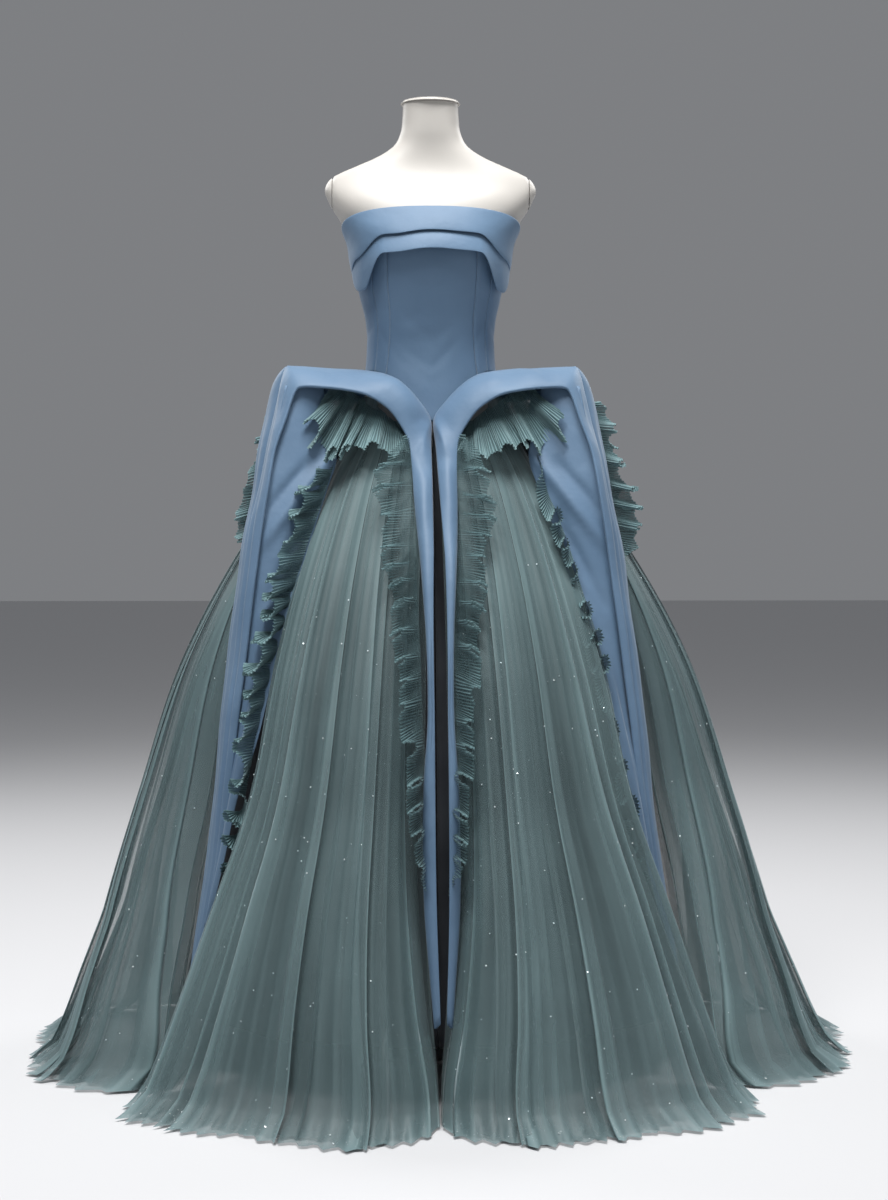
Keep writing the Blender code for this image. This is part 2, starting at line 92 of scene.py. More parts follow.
# Each lamp: name, place, what it looks at, width, power in watts.
LAMPS = (
    ("key", (-1.0, -2.0, 4.4), (0.0, 0.0, 1.1), 1.3, 95),
    ("fill", (3.0, -2.4, 1.8), (0.0, 0.0, 0.8), 2.4, 10),
    ("top", (0.2, -0.75, 4.4), (0.0, 0.0, 1.0), 1.5, 138),
    ("back_left", (-2.6, 2.8, 3.2), (0.0, 0.0, 0.9), 2.0, 50),
    ("back_right", (2.6, 2.8, 3.4), (0.0, 0.0, 0.9), 2.0, 50),
)
for name, place, target, width, power in LAMPS:
    lamp = bpy.data.lights.new(name, "AREA")
    lamp.shape = "DISK"
    lamp.size = width
    lamp.energy = power
    holder = in_scene(name, lamp)
    toward = np.array(target) - np.array(place)
    reach = float(np.hypot(toward[0], toward[1]))
    holder.location = place
    holder.rotation_euler = (math.pi / 2 + math.atan2(toward[2], reach), 0, math.atan2(-toward[0], toward[1]))

camera = bpy.data.cameras.new("camera")
camera.lens = CAMERA_LENS
camera_holder = in_scene("camera", camera)
camera_holder.location = CAMERA_PLACE
camera_holder.rotation_euler = (math.pi / 2 - CAMERA_DOWN, 0, CAMERA_TURN)
bpy.context.scene.camera = camera_holder


# ---- the dress form ----
# A hollow moulded torso with a neck stump, sprayed warm white, cut flat at the arms. Each cut is closed
# by a domed plate, and the neck by a turned cap. It has no head, arms or legs.
# The body: height, half width, depth to the front, depth to the back.
BODY = np.array([
    (0.960, 0.150, 0.104, 0.104),
    (1.020, 0.152, 0.106, 0.114),
    (1.090, 0.137, 0.102, 0.106),
    (1.150, 0.119, 0.092, 0.088),
    (1.200, 0.110, 0.084, 0.076),
    (1.245, 0.107, 0.080, 0.070),
    (1.290, 0.109, 0.086, 0.072),
    (1.340, 0.1205, 0.099, 0.078),
    (1.390, 0.129, 0.112, 0.084),
    (1.430, 0.137, 0.110, 0.088),
    (1.465, 0.158, 0.096, 0.090),
    (1.500, 0.180, 0.080, 0.084),
    (1.526, 0.187, 0.062, 0.072),
    (1.546, 0.172, 0.052, 0.062),
    (1.563, 0.135, 0.047, 0.056),
    (1.580, 0.096, 0.045, 0.052),
    (1.598, 0.068, 0.045, 0.050),
    (1.622, 0.054, 0.047, 0.049),
    (1.650, 0.050, 0.047, 0.047),
    (1.674, 0.049, 0.046, 0.046),
])
SQUARENESS = 0.86
ARM_CUT = 0.1745
SEAM = 0.0006


def through(xs, ys, x):
    """A smooth curve through points: cubic pieces whose slope at each point is its neighbours' mean."""
    xs, ys, x = np.asarray(xs, float), np.asarray(ys, float), np.asarray(x, float)
    slope = np.gradient(ys, xs, axis=0)
    i = np.clip(np.searchsorted(xs, x, side="right") - 1, 0, len(xs) - 2)
    h = xs[i + 1] - xs[i]
    t = np.clip((x - xs[i]) / h, 0, 1)
    if ys.ndim > 1:
        h, t = h[..., None], t[..., None]
    start, stop = ys[i], ys[i + 1]
    leave, arrive = slope[i] * h, slope[i + 1] * h
    first = (start * (1 + 2 * t) + leave * t) * (1 - t) ** 2
    return first + (stop * (3 - 2 * t) - arrive * (1 - t)) * t**2


def rounded(wave):
    """A sine or cosine raised to a power under one, which squares an oval section a little."""
    return np.sign(wave) * np.abs(wave) ** SQUARENESS


def body_surface(turn, heights, out):
    """Points on the body at an angle from the front, at a height, moved out from it."""
    turn, heights = np.broadcast_arrays(turn, heights)
    half_width = through(BODY[:, 0], BODY[:, 1], heights) + out
    front = through(BODY[:, 0], BODY[:, 2], heights) + out
    back = through(BODY[:, 0], BODY[:, 3], heights) + out
    depth = np.where(np.cos(turn) >= 0, front, back)
    across = half_width * rounded(np.sin(turn))
    return np.stack([across, -depth * rounded(np.cos(turn)), heights], -1)


def grid_object(name, grid, finish, wrap=False, caps=False, weights=None, wall=0):
    """A mesh on a grid of points, each four neighbours making a face, turned to look away from the pole.

    The map "cloth" holds the distances along the grid's columns and rows, in metres. wrap closes each
    row into a ring, caps closes the first and last ring, weights are named numbers, one a point, and
    wall is the cloth's thickness, half to each side.
    """
    rows, columns = grid.shape[:2]
    ids = np.arange(rows * columns).reshape(rows, columns)
    if wrap:
        ids = np.hstack([ids, ids[:, :1]])
    quads = np.stack([ids[:-1, :-1], ids[:-1, 1:], ids[1:, 1:], ids[1:, :-1]], -1).reshape(-1, 4)
    points = grid.reshape(-1, 3)
    middle = points[quads].mean(1)
    looks = np.cross(points[quads[:, 2]] - points[quads[:, 0]], points[quads[:, 3]] - points[quads[:, 1]])
    rings = [ids[0, :columns][::-1], ids[-1, :columns]] if caps else []
    if (looks[:, :2] * middle[:, :2]).sum() < 0:
        quads = quads[:, ::-1]
        rings = [ring[::-1] for ring in rings]
    mesh = bpy.data.meshes.new(name)
    mesh.from_pydata(points.tolist(), [], quads.tolist() + [ring.tolist() for ring in rings])
    mesh.update(calc_edges=True)
    mesh.validate()
    mesh.shade_smooth()
    down = np.linalg.norm(np.diff(grid, axis=0), axis=2).mean(1)
    along = np.linalg.norm(np.diff(grid, axis=1), axis=2).mean(0)
    u, v = (np.concatenate([[0], np.cumsum(lengths)]) for lengths in (along, down))
    placed = np.stack(np.meshgrid(u, v), -1).reshape(-1, 2)
    flat = mesh.uv_layers.new(name="cloth")
    order = np.empty(len(mesh.loops), np.int32)
    mesh.loops.foreach_get("vertex_index", order)
    flat.data.foreach_set("uv", placed[order].astype(np.float32).ravel())
    for label, values in (weights or {}).items():
        layer = mesh.attributes.new(label, "FLOAT", "POINT")
        layer.data.foreach_set("value", np.asarray(values, np.float32).ravel())
    mesh.materials.append(finish)
    made = in_scene(name, mesh)
    if wall:
        thick = made.modifiers.new("wall", "SOLIDIFY")
        thick.thickness = wall
        thick.offset = 0
    return made


def finished(piece, slot, *nodes):
    """Sets a piece on the form's body, in place of its plain solids. The slot is not used."""
    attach(piece, "root")
    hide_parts(*nodes)


def node(tree, kind, **inputs):
    """One shader node with its inputs set by name."""
    made = tree.nodes.new(kind)
    for socket, value in inputs.items():
        made.inputs[socket.replace("_", " ")].default_value = value
    return made


def blotches(tree, scale, detail, low=0.0, high=1.0, coordinate="Object", stretch=(1, 1, 1)):
    """Soft noise between two values, read in metres from the piece's own coordinates."""
    place = tree.nodes.new("ShaderNodeTexCoord")
    turn = node(tree, "ShaderNodeMapping", Scale=stretch)
    noise = node(tree, "ShaderNodeTexNoise", Scale=scale, Detail=detail)
    spread = node(tree, "ShaderNodeMapRange", From_Min=0.3, From_Max=0.7, To_Min=low, To_Max=high)
    tree.links.new(place.outputs[coordinate], turn.inputs["Vector"])
    tree.links.new(turn.outputs["Vector"], noise.inputs["Vector"])
    tree.links.new(noise.outputs["Fac"], spread.inputs["Value"])
    return spread.outputs["Result"]


def two_tone(tree, shader, first, second, mix):
    """The base colour, mixed from two by a value."""
    blend = tree.nodes.new("ShaderNodeMix")
    blend.data_type = "RGBA"
    blend.inputs["A"].default_value = (*first, 1)
    blend.inputs["B"].default_value = (*second, 1)
    tree.links.new(mix, blend.inputs["Factor"])
    tree.links.new(blend.outputs["Result"], shader.inputs["Base Color"])


def relief(tree, onto, height, strength, distance):
    """A bump from a height value, in metres, set on a shader or under another bump."""
    bump = node(tree, "ShaderNodeBump", Strength=strength, Distance=distance)
    tree.links.new(height, bump.inputs["Height"])
    tree.links.new(bump.outputs["Normal"], onto.inputs["Normal"])
    return bump


lacquer, tree, shader = new_finish("form_lacquer", (0.80, 0.75, 0.69), 0.42, Specular_IOR_Level=0.4)
two_tone(tree, shader, (0.54, 0.515, 0.48), (0.50, 0.478, 0.445), blotches(tree, 9.0, 3.0))
relief(tree, shader, blotches(tree, 900.0, 2.0), 0.12, 0.0004)

turn = np.linspace(0, 2 * math.pi, 72, endpoint=False)[None, :]
heights = np.linspace(BODY[0, 0], BODY[-1, 0], 96)[:, None]
torso_points = body_surface(turn, heights, 0.0)
torso_points[..., 0] = np.clip(torso_points[..., 0], -ARM_CUT, ARM_CUT)
torso = grid_object("torso_shell", torso_points, lacquer, wrap=True, caps=True)
torso.data.set_sharp_from_angle(angle=math.radians(50))
finished(torso, "form_shell", "form_torso")


def plate_grid(side, rows=30, columns=30):
    """The arm plate: the part of the body's surface outside the flat cut, closed by a flat back."""
    wide = np.linspace(BODY[8, 0], BODY[14, 0], 400)
    outside = wide[through(BODY[:, 0], BODY[:, 1], wide) > ARM_CUT + SEAM + 0.0004]
    z = np.linspace(outside[0], outside[-1], rows)[:, None]
    half_width = through(BODY[:, 0], BODY[:, 1], z)
    sine = np.clip((ARM_CUT + SEAM) / half_width, 0, 1) ** (1 / SQUARENESS)
    rim = np.arcsin(sine)
    turn = rim + (math.pi - 2 * rim) * np.linspace(0, 1, columns)[None, :]
    dome = body_surface(turn, z, 0.0)
    back = dome.copy()
    back[..., 0] = ARM_CUT + SEAM
    return np.concatenate([dome, back[:, ::-1]], 1) * (side, 1, 1)


for side, hand in ((-1, "left"), (1, "right")):
    plate = grid_object(f"arm_plate_{hand}", plate_grid(side), lacquer, wrap=True, caps=True)
    plate.data.set_sharp_from_angle(angle=math.radians(40))
    finished(plate, "form_shell", f"form_arm_plate_{hand}")

cap_low, cap_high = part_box("form_neck_cap")
NECK_TOP, CAP_TOP, CAP_RADIUS = float(cap_low[2]), float(cap_high[2]), float(cap_high[0])
# The cap from its middle out over its rounded rim and back under: radius and height.
cap_profile = np.array([
    (0.0006, CAP_TOP + 0.0010),
    (0.55 * CAP_RADIUS, CAP_TOP + 0.0006),
    (CAP_RADIUS - 0.0030, CAP_TOP - 0.0004),
    (CAP_RADIUS - 0.0008, CAP_TOP - 0.0018),
    (CAP_RADIUS, CAP_TOP - 0.0034),
    (CAP_RADIUS - 0.0004, NECK_TOP + 0.0002),
    (0.0006, NECK_TOP),
])
steps = np.linspace(0, len(cap_profile) - 1, 25)
profile = through(np.arange(len(cap_profile)), cap_profile, steps)
around = np.linspace(0, 2 * math.pi, 64, endpoint=False)
across, up = profile[:, :1], profile[:, 1:]
cap_grid = np.stack([across * np.sin(around), -across * np.cos(around), up + 0 * around], -1)
neck_cap = grid_object("neck_cap", cap_grid, lacquer, wrap=True, caps=True)
finished(neck_cap, "form_shell", "form_neck_cap")

# ---- the stand ----
# A steel pole in a socket under the torso, on a round weighted base: plain turned pieces, hidden by the
# skirt, whose solids stay as they are with a brushed finish.
steel, tree, shader = new_finish("brushed_steel", (0.52, 0.52, 0.54), 0.32, Metallic=0.95)
grain = blotches(tree, 40.0, 3.0, stretch=(1, 1, 12))
two_tone(tree, shader, (0.50, 0.50, 0.52), (0.60, 0.60, 0.61), grain)
relief(tree, shader, blotches(tree, 500.0, 2.0, stretch=(1, 1, 14)), 0.15, 0.0003)
for name in ("stand_base", "stand_pole", "stand_socket"):
    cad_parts[name].data.materials.clear()
    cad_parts[name].data.materials.append(steel)

# ---- the bodice ----
# Seven boned panels of dusty blue duchess satin, closed at the centre back, cut to a point at the waist
# in front and behind. The princess seams are pressed open, so each shows as a fine ditch with the cloth
# soft beside it.
BODICE_EASE = 0.0056
SATIN_WALL = 0.0016
SEAM_HALF_GAP = math.radians(0.10)
SEAM_DIP = 0.0011
SEAM_REACH = 0.0030
PUCKER = 0.00025
PUCKERS = 34
PUCKER_REACH = 0.006
PANEL_ROWS = 60
PANEL_COLUMNS = 36
TUCKED_IN = 0.022
SIDE_TOP = 1.440
FRONT_RISE = 0.042
BACK_FALL = 0.020
WAIST_POINT = 1.124
WAIST_RISE = 0.096
WAIST_POINT_REACH = math.radians(62)
FLAP_WALL = 0.0012


def neckline(turn):
    """Height of the bodice's top edge: highest at the centre front, level across the back."""
    turn = np.abs(turn)
    front = SIDE_TOP + FRONT_RISE * np.cos(np.clip(turn, 0, math.pi / 2)) ** 0.8
    back = SIDE_TOP - BACK_FALL * np.clip((turn - math.pi / 2) / (math.pi / 2), 0, 1)
    return np.where(turn < math.pi / 2, front, back)


def waistline(turn):
    """Height of the bodice's lower edge: a point at the centre front and centre back, high at the sides."""
    from_point = math.pi / 2 - np.abs(np.abs(turn) - math.pi / 2)
    away = np.clip(from_point / WAIST_POINT_REACH, 0, 1)
    return WAIST_POINT + WAIST_RISE * np.sin(away * math.pi / 2) ** 0.85


def unit(vectors):
    """Vectors made one metre long."""
    return vectors / (np.linalg.norm(vectors, axis=-1, keepdims=True) + 1e-12)


def facing_out(grid):
    """The surface's direction at each point: the cross of its two gradients, looking away from the pole."""
    looks = unit(np.cross(np.gradient(grid, axis=1), np.gradient(grid, axis=0)))
    away = (looks[..., :2] * grid[..., :2]).sum()
    return looks if away > 0 else -looks


def pushed(grid, amount):
    """The surface moved along its own direction by an amount in metres at each point."""
    return grid + facing_out(grid) * amount[..., None]


def run_along(points):
    """How far along a line each of its points lies, in metres."""
    return np.concatenate([[0], np.cumsum(np.linalg.norm(np.diff(points, axis=0), axis=1))])


def creases(grid, table):
    """Soft folds: each row runs from one place to another, as shares across and along the piece, with
    its half width and its height in metres. The height falls off as a bell to each side and fades to
    nothing at both ends."""
    rows, columns = grid.shape[:2]
    run = run_along(grid[:, columns // 2])
    wide = np.linalg.norm(np.diff(grid, axis=1), axis=2).sum(1)
    share = np.linspace(0, 1, rows)
    across = (np.linspace(0, 1, columns)[None, :] - 0.5) * wide[:, None]
    along = run[:, None] + 0 * across
    height = np.zeros((rows, columns))
    for across_from, along_from, across_to, along_to, half_width, rise in table:
        ends = np.array([along_from, along_to])
        start, stop = np.interp(ends, share, run)
        width_from, width_to = np.interp(ends, share, wide)
        left, right = (across_from - 0.5) * width_from, (across_to - 0.5) * width_to
        step = np.array([right - left, stop - start])
        near = ((across - left) * step[0] + (along - start) * step[1]) / (step @ step)
        place = np.clip(near, 0, 1)
        away = np.hypot(across - left - place * step[0], along - start - place * step[1])
        fade = np.clip(4 * place * (1 - place), 0, 1) ** 0.6
        height += rise * np.exp(-((away / half_width) ** 2)) * fade
    return height


def satin(name, light, dark, roughness):
    """Satin: a close weave of long floats, smooth and softly bright, whose dye varies a little."""
    made, tree, shader = new_finish(
        name, light, roughness, Specular_IOR_Level=0.34, Sheen_Weight=0.24, Sheen_Roughness=0.38
    )
    shader.inputs["Sheen Tint"].default_value = (0.84, 0.90, 0.97, 1)
    two_tone(tree, shader, light, dark, blotches(tree, 7.0, 4.0))
    floats = blotches(tree, 900.0, 2.0, coordinate="UV", stretch=(1, 0.22, 1))
    bump = relief(tree, shader, floats, 0.10, 0.0003)
    relief(tree, bump, blotches(tree, 26.0, 3.0), 0.28, 0.0022)
    return made


blue_satin = satin("blue_satin", (0.124, 0.204, 0.308), (0.096, 0.166, 0.260), 0.54)

# Each panel: name, where it starts and ends at the neckline and at the waist in degrees from the front,
# its width and length as cut, and its soft creases (see creases above; along runs from waist to top).
PANELS = (
    ("bodice_centre_front", -29, 29, -41, 41, (0.172, 0.352), (
        (0.20, 0.22, 0.80, 0.30, 0.012, -0.0016), (0.15, 0.42, 0.70, 0.38, 0.014, -0.0014),
        (0.40, 0.06, 0.52, 0.30, 0.010, 0.0008), (0.30, 0.60, 0.85, 0.66, 0.014, -0.0012),
        (0.12, 0.30, 0.50, 0.46, 0.011, 0.0013), (0.10, 0.16, 0.60, 0.20, 0.012, -0.0008))),
    ("bodice_front_left", -47, -29, -58, -41, (0.042, 0.268), (
        (0.05, 0.30, 0.90, 0.18, 0.009, -0.0013), (0.10, 0.48, 0.85, 0.40, 0.010, -0.0011))),
    ("bodice_front_right", 29, 47, 41, 58, (0.042, 0.268), (
        (0.10, 0.20, 0.95, 0.34, 0.009, -0.0013), (0.15, 0.44, 0.90, 0.52, 0.011, -0.0011))),
    ("bodice_side_left", -104, -47, -100, -58, (0.108, 0.246), (
        (0.10, 0.25, 0.90, 0.30, 0.010, -0.0013), (0.20, 0.55, 0.80, 0.48, 0.012, -0.0011))),
    ("bodice_side_right", 47, 104, 58, 100, (0.108, 0.246), (
        (0.10, 0.32, 0.90, 0.24, 0.010, -0.0013), (0.15, 0.50, 0.85, 0.58, 0.012, -0.0011))),
    ("bodice_back_left", -179.8, -104, -179.8, -100, (0.150, 0.318), (
        (0.10, 0.30, 0.85, 0.22, 0.012, -0.0013), (0.20, 0.55, 0.95, 0.50, 0.014, -0.0010))),
    ("bodice_back_right", 104, 179.8, 100, 179.8, (0.150, 0.318), (
        (0.15, 0.22, 0.90, 0.30, 0.012, -0.0013), (0.05, 0.52, 0.80, 0.58, 0.014, -0.0010))),
)
for name, top_from, top_to, low_from, low_to, cut, folds in PANELS:
    up = np.linspace(0, 1, PANEL_ROWS)[:, None]
    across = np.linspace(0, 1, PANEL_COLUMNS)[None, :]
    start = np.radians(low_from + (top_from - low_from) * up) + SEAM_HALF_GAP
    stop = np.radians(low_to + (top_to - low_to) * up) - SEAM_HALF_GAP
    turn = start + (stop - start) * across
    low = waistline(turn) - TUCKED_IN
    panel = body_surface(turn, low + (neckline(turn) - low) * up, BODICE_EASE)
    wide = np.linalg.norm(np.diff(panel, axis=1), axis=2).sum(1)[:, None]
    from_seam = np.minimum(across, 1 - across) * wide
    dip = -SEAM_DIP * np.exp(-((from_seam / SEAM_REACH) ** 2))
    pucker = PUCKER * np.cos(2 * math.pi * up * PUCKERS) * np.exp(-((from_seam / PUCKER_REACH) ** 2))
    panel = pushed(panel, dip + pucker + creases(panel, folds))
    piece = grid_object(name[7:] + "_panel", panel, blue_satin, wall=SATIN_WALL)
    finished(piece, "satin", name)

# ---- the bust bands ----
# Two bias bands of the same satin, folded double and pulled across the bust. The upper one goes on round
# the back; the lower one is tucked in at the sides and its soft loose fold stands away from the bodice.
# Each band: name, how far round it goes each way in degrees, how far out its top and loose edge stand,
# how far under the neckline its top and loose edge lie at the middle, how much lower the loose edge is
# past its corners, where the corners start and their width in degrees, its stations, its cut.
BANDS = (
    ("band_upper", 179.6, 0.0108, 0.0200, 0.000, 0.047, 0.026, 27, 33, 300, (0.062, 0.860)),
    ("band_lower", 84.0, 0.0080, 0.0270, 0.032, 0.080, 0.050, 29, 24, 240, (0.062, 0.480)),
)
BAND_HALF_THICKNESS = 0.0016
BAND_STEPS = 40
BAND_TUCK = math.radians(26)
BAND_DRAWN_UP = 0.55


def folded_band(half_turn, top_out, edge_out, top_drop, middle_drop, corner_drop, corner, width, stations):
    """A band folded double: a flattened loop carried round the body.

    The loop is a superellipse, its long way running down the band and its short way out from it. The
    band leans out towards its loose edge, and swells and slackens slowly on the way round. One that
    stops at the sides is drawn up by a quarter sine to a tuck at each end.
    """
    turn = np.radians(np.linspace(-half_turn, half_turn, stations))[:, None]
    loop = np.linspace(0, 2 * math.pi, BAND_STEPS, endpoint=False)[None, :]
    down = 0.5 - 0.5 * np.sign(np.cos(loop)) * np.abs(np.cos(loop)) ** 0.7
    thick = BAND_HALF_THICKNESS * np.sign(np.sin(loop)) * np.abs(np.sin(loop)) ** 0.45
    past = np.clip((np.abs(turn) - math.radians(corner)) / math.radians(width), 0, 1)
    lower = past**2 * (3 - 2 * past) * np.where(np.abs(turn) < math.pi / 2, 1, np.abs(np.sin(turn)))
    slack = 0.0016 * np.sin(5.3 * turn + 0.7) + 0.0011 * np.sin(11.7 * turn + 2.0)
    heights = neckline(turn) - top_drop + (top_drop - middle_drop - corner_drop * lower + slack) * down
    lean = down**1.3 * np.clip(np.cos(turn), 0, 1) ** 0.6
    if half_turn < 90:
        from_end = np.clip((math.radians(half_turn) - np.abs(turn)) / BAND_TUCK, 0, 1)
        drawn_up = BAND_DRAWN_UP * (middle_drop + corner_drop - top_drop)
        heights = heights + (1 - np.sin(from_end * math.pi / 2)) * drawn_up * down
    swell = 0.0014 * np.sin(math.pi * down) * (1 + 0.5 * np.sin(7.1 * turn + 1.1))
    out = top_out + (edge_out - top_out) * lean + thick + swell * (thick > 0)
    return body_surface(turn, heights, out)


for name, *shape, cut in BANDS:
    grid = folded_band(*shape)
    piece = grid_object(f"folded_{name}", grid, blue_satin, wrap=True, caps=True)
    finished(piece, "satin", name)

# ---- the satin overskirt ----
# Six hoods of the same satin, each cut as an arch whose two legs run down into narrow petals. Each is
# interfaced so that it stands out like a shelf over the hip, and its free edge is turned under softly.
# One front hood, from its leg at the centre front over the arch and down to its tip at the side: the
# line that joins its neighbour or the waist, the free edge, how far it crowns, and how deep the two
# long folds of its outer leg are. All are in metres.
FRONT_HOOD = np.array([
    (0.0050, -0.530, 0.150, 0.014, -0.528, 0.142, 0.0020, 0.0000),
    (0.0100, -0.497, 0.330, 0.028, -0.486, 0.330, 0.0040, 0.0000),
    (0.0110, -0.455, 0.500, 0.028, -0.447, 0.500, 0.0050, 0.0000),
    (0.0110, -0.420, 0.620, 0.021, -0.416, 0.615, 0.0040, 0.0000),
    (0.0115, -0.378, 0.740, 0.022, -0.374, 0.735, 0.0045, 0.0000),
    (0.0100, -0.330, 0.850, 0.028, -0.325, 0.840, 0.0065, 0.0000),
    (0.0060, -0.240, 0.975, 0.035, -0.250, 0.955, 0.0090, 0.0000),
    (0.0040, -0.165, 1.060, 0.037, -0.200, 1.030, 0.0120, 0.0000),
    (0.0025, -0.109, 1.110, 0.041, -0.180, 1.072, 0.0150, 0.0000),
    (0.0240, -0.104, 1.144, 0.054, -0.172, 1.100, 0.0165, 0.0000),
    (0.0520, -0.094, 1.172, 0.077, -0.168, 1.130, 0.0165, 0.0000),
    (0.0790, -0.080, 1.190, 0.111, -0.166, 1.152, 0.0150, 0.0000),
    (0.1130, -0.060, 1.198, 0.144, -0.161, 1.161, 0.0125, 0.0000),
    (0.1720, -0.070, 1.201, 0.184, -0.154, 1.166, 0.0105, 0.0000),
    (0.2390, -0.085, 1.2045, 0.225, -0.150, 1.167, 0.0070, 0.0000),
    (0.2560, -0.090, 1.198, 0.239, -0.152, 1.155, 0.0050, 0.0000),
    (0.2690, -0.100, 1.140, 0.254, -0.166, 1.110, 0.0045, 0.0010),
    (0.2810, -0.119, 1.070, 0.272, -0.182, 1.056, 0.0040, 0.0025),
    (0.2960, -0.141, 0.985, 0.284, -0.201, 0.985, 0.0040, 0.0040),
    (0.3160, -0.172, 0.880, 0.298, -0.218, 0.880, 0.0025, 0.0050),
    (0.3310, -0.203, 0.750, 0.313, -0.240, 0.750, 0.0020, 0.0055),
    (0.3500, -0.238, 0.580, 0.332, -0.265, 0.580, 0.0015, 0.0055),
    (0.3700, -0.266, 0.380, 0.356, -0.286, 0.380, 0.0010, 0.0045),
    (0.4020, -0.286, 0.175, 0.395, -0.294, 0.168, 0.0010, 0.0010),
])
# The free edge of one side hood from its front tip up to the middle of the hip, its crown and its folds,
# a row against each of the last rows of the front hood, whose outer line it is sewn along.
SIDE_EDGE = np.array([
    (0.410, -0.274, 0.168, 0.0010, 0.0010),
    (0.380, -0.214, 0.380, 0.0020, 0.0030),
    (0.361, -0.166, 0.580, 0.0025, 0.0040),
    (0.343, -0.129, 0.750, 0.0030, 0.0045),
    (0.328, -0.102, 0.880, 0.0040, 0.0040),
    (0.308, -0.082, 0.985, 0.0050, 0.0030),
    (0.299, -0.070, 1.065, 0.0060, 0.0020),
    (0.289, -0.060, 1.120, 0.0070, 0.0010),
    (0.281, -0.048, 1.150, 0.0080, 0.0000),
    (0.275, -0.036, 1.163, 0.0090, 0.0000),
    (0.271, -0.018, 1.168, 0.0100, 0.0000),
    (0.269, -0.006, 1.170, 0.0100, 0.0000),
])
HOOD_STATIONS = 200
HOOD_ACROSS = 22
HOOD_SEAM = 0.0012
STRIP_DRIFT = 0.006
SLOW_WAVES, QUICK_WAVES = 7.3, 16.1
TURNED_EDGE = 0.0024
TURNED_UNDER = 0.010


def stations(table, count, index_share=0.03):
    """Rows on a smooth curve through the table, spaced by length along it and a little by table row."""
    row = np.arange(len(table))
    fine = np.linspace(0, len(table) - 1, 3000)
    line = through(row, table, fine)
    steps = np.linalg.norm(np.diff(line[:, :3], axis=0), axis=1) + index_share * np.diff(fine)
    run = np.concatenate([[0], np.cumsum(steps)])
    return through(row, table, np.interp(np.linspace(0, run[-1], count), run, fine))


def strip(line, across):
    """Points evenly between the two lines that a row holds."""
    share = np.linspace(0, 1, across)[None, :, None]
    return line[:, None, :3] * (1 - share) + line[:, None, 3:6] * share


def with_turned_edge(grid, radius, under):
    """The last column rolled under: half a circle past the edge, then a strip going back beneath."""
    ahead = unit(grid[:, -1] - grid[:, -3])[:, None]
    out = facing_out(grid)[:, -1][:, None]
    out = unit(out - ahead * (out * ahead).sum(-1, keepdims=True))
    swing = np.linspace(0, math.pi, 9)[1:][None, :, None]
    roll = grid[:, -1:] - out * radius * (1 - np.cos(swing)) + ahead * radius * np.sin(swing)
    back = np.linspace(0.25, 1, 4)[None, :, None]
    return np.concatenate([grid, roll, roll[:, -1:] - ahead * under * back], 1)


def hood(line, folds, wobble):
    """A hood: crowned across as a half sine, with twin ridges (a squared sine) down its outer leg, a
    slow unevenness along it, and its free edge turned under."""
    flat = strip(line, HOOD_ACROSS)
    share = np.linspace(0, 1, HOOD_ACROSS)[None, :]
    run = np.linspace(0, 1, len(line))[:, None]
    slow = 2 * math.pi * SLOW_WAVES * run + wobble
    quick = 2 * math.pi * QUICK_WAVES * run + 2 * wobble
    uneven = 1 + 0.16 * np.sin(slow) + 0.10 * np.sin(quick)
    crown = line[:, 6:7] * np.sin(math.pi * share) ** 0.8 * uneven
    ridges = line[:, 7:8] * np.sin(2 * math.pi * (share * 0.92 + 0.02)) ** 2 * uneven
    grid = pushed(flat, crown + ridges + creases(flat, folds))
    return with_turned_edge(grid, TURNED_EDGE, TURNED_UNDER)


# Each hood's own creases: across and along from, across and along to, half width, height.
FRONT_FOLDS = {
    "left": ((0.15, 0.360, 0.80, 0.400, 0.010, -0.0030), (0.20, 0.420, 0.90, 0.440, 0.011, -0.0024),
             (0.10, 0.470, 0.85, 0.480, 0.012, 0.0020), (0.15, 0.545, 0.90, 0.530, 0.010, -0.0026),
             (0.30, 0.585, 0.80, 0.640, 0.008, 0.0026)),
    "right": ((0.10, 0.370, 0.85, 0.390, 0.010, -0.0028), (0.15, 0.430, 0.90, 0.425, 0.012, -0.0022),
              (0.20, 0.500, 0.80, 0.490, 0.012, 0.0022), (0.10, 0.535, 0.90, 0.555, 0.009, -0.0028),
              (0.25, 0.600, 0.75, 0.660, 0.008, 0.0024)),
}
SIDE_FOLDS = ((0.20, 0.440, 0.85, 0.455, 0.012, -0.0022), (0.15, 0.500, 0.85, 0.510, 0.014, 0.0020),
              (0.20, 0.565, 0.85, 0.550, 0.011, -0.0024))
mirror = {"left": -1, "right": 1, "front": 1, "back": -1}
QUARTERS = [(hand, where) for hand in ("left", "right") for where in ("front", "back")]
front_line = stations(FRONT_HOOD, HOOD_STATIONS)
for hand, where in QUARTERS:
    grid = hood(front_line, FRONT_FOLDS[hand], 1.3 * mirror[hand] + 0.8 * mirror[where])
    grid = grid * (mirror[hand], mirror[where], 1)
    low_down = np.clip((1.08 - grid[..., 2]) / 0.2, 0, 1)
    grid[..., 0] += STRIP_DRIFT * np.exp(-((grid[..., 0] / 0.06) ** 2)) * low_down
    piece = grid_object(f"satin_hood_{where}_{hand}", grid, blue_satin, wall=FLAP_WALL)
    finished(piece, "satin", f"hood_{where}_{hand}")

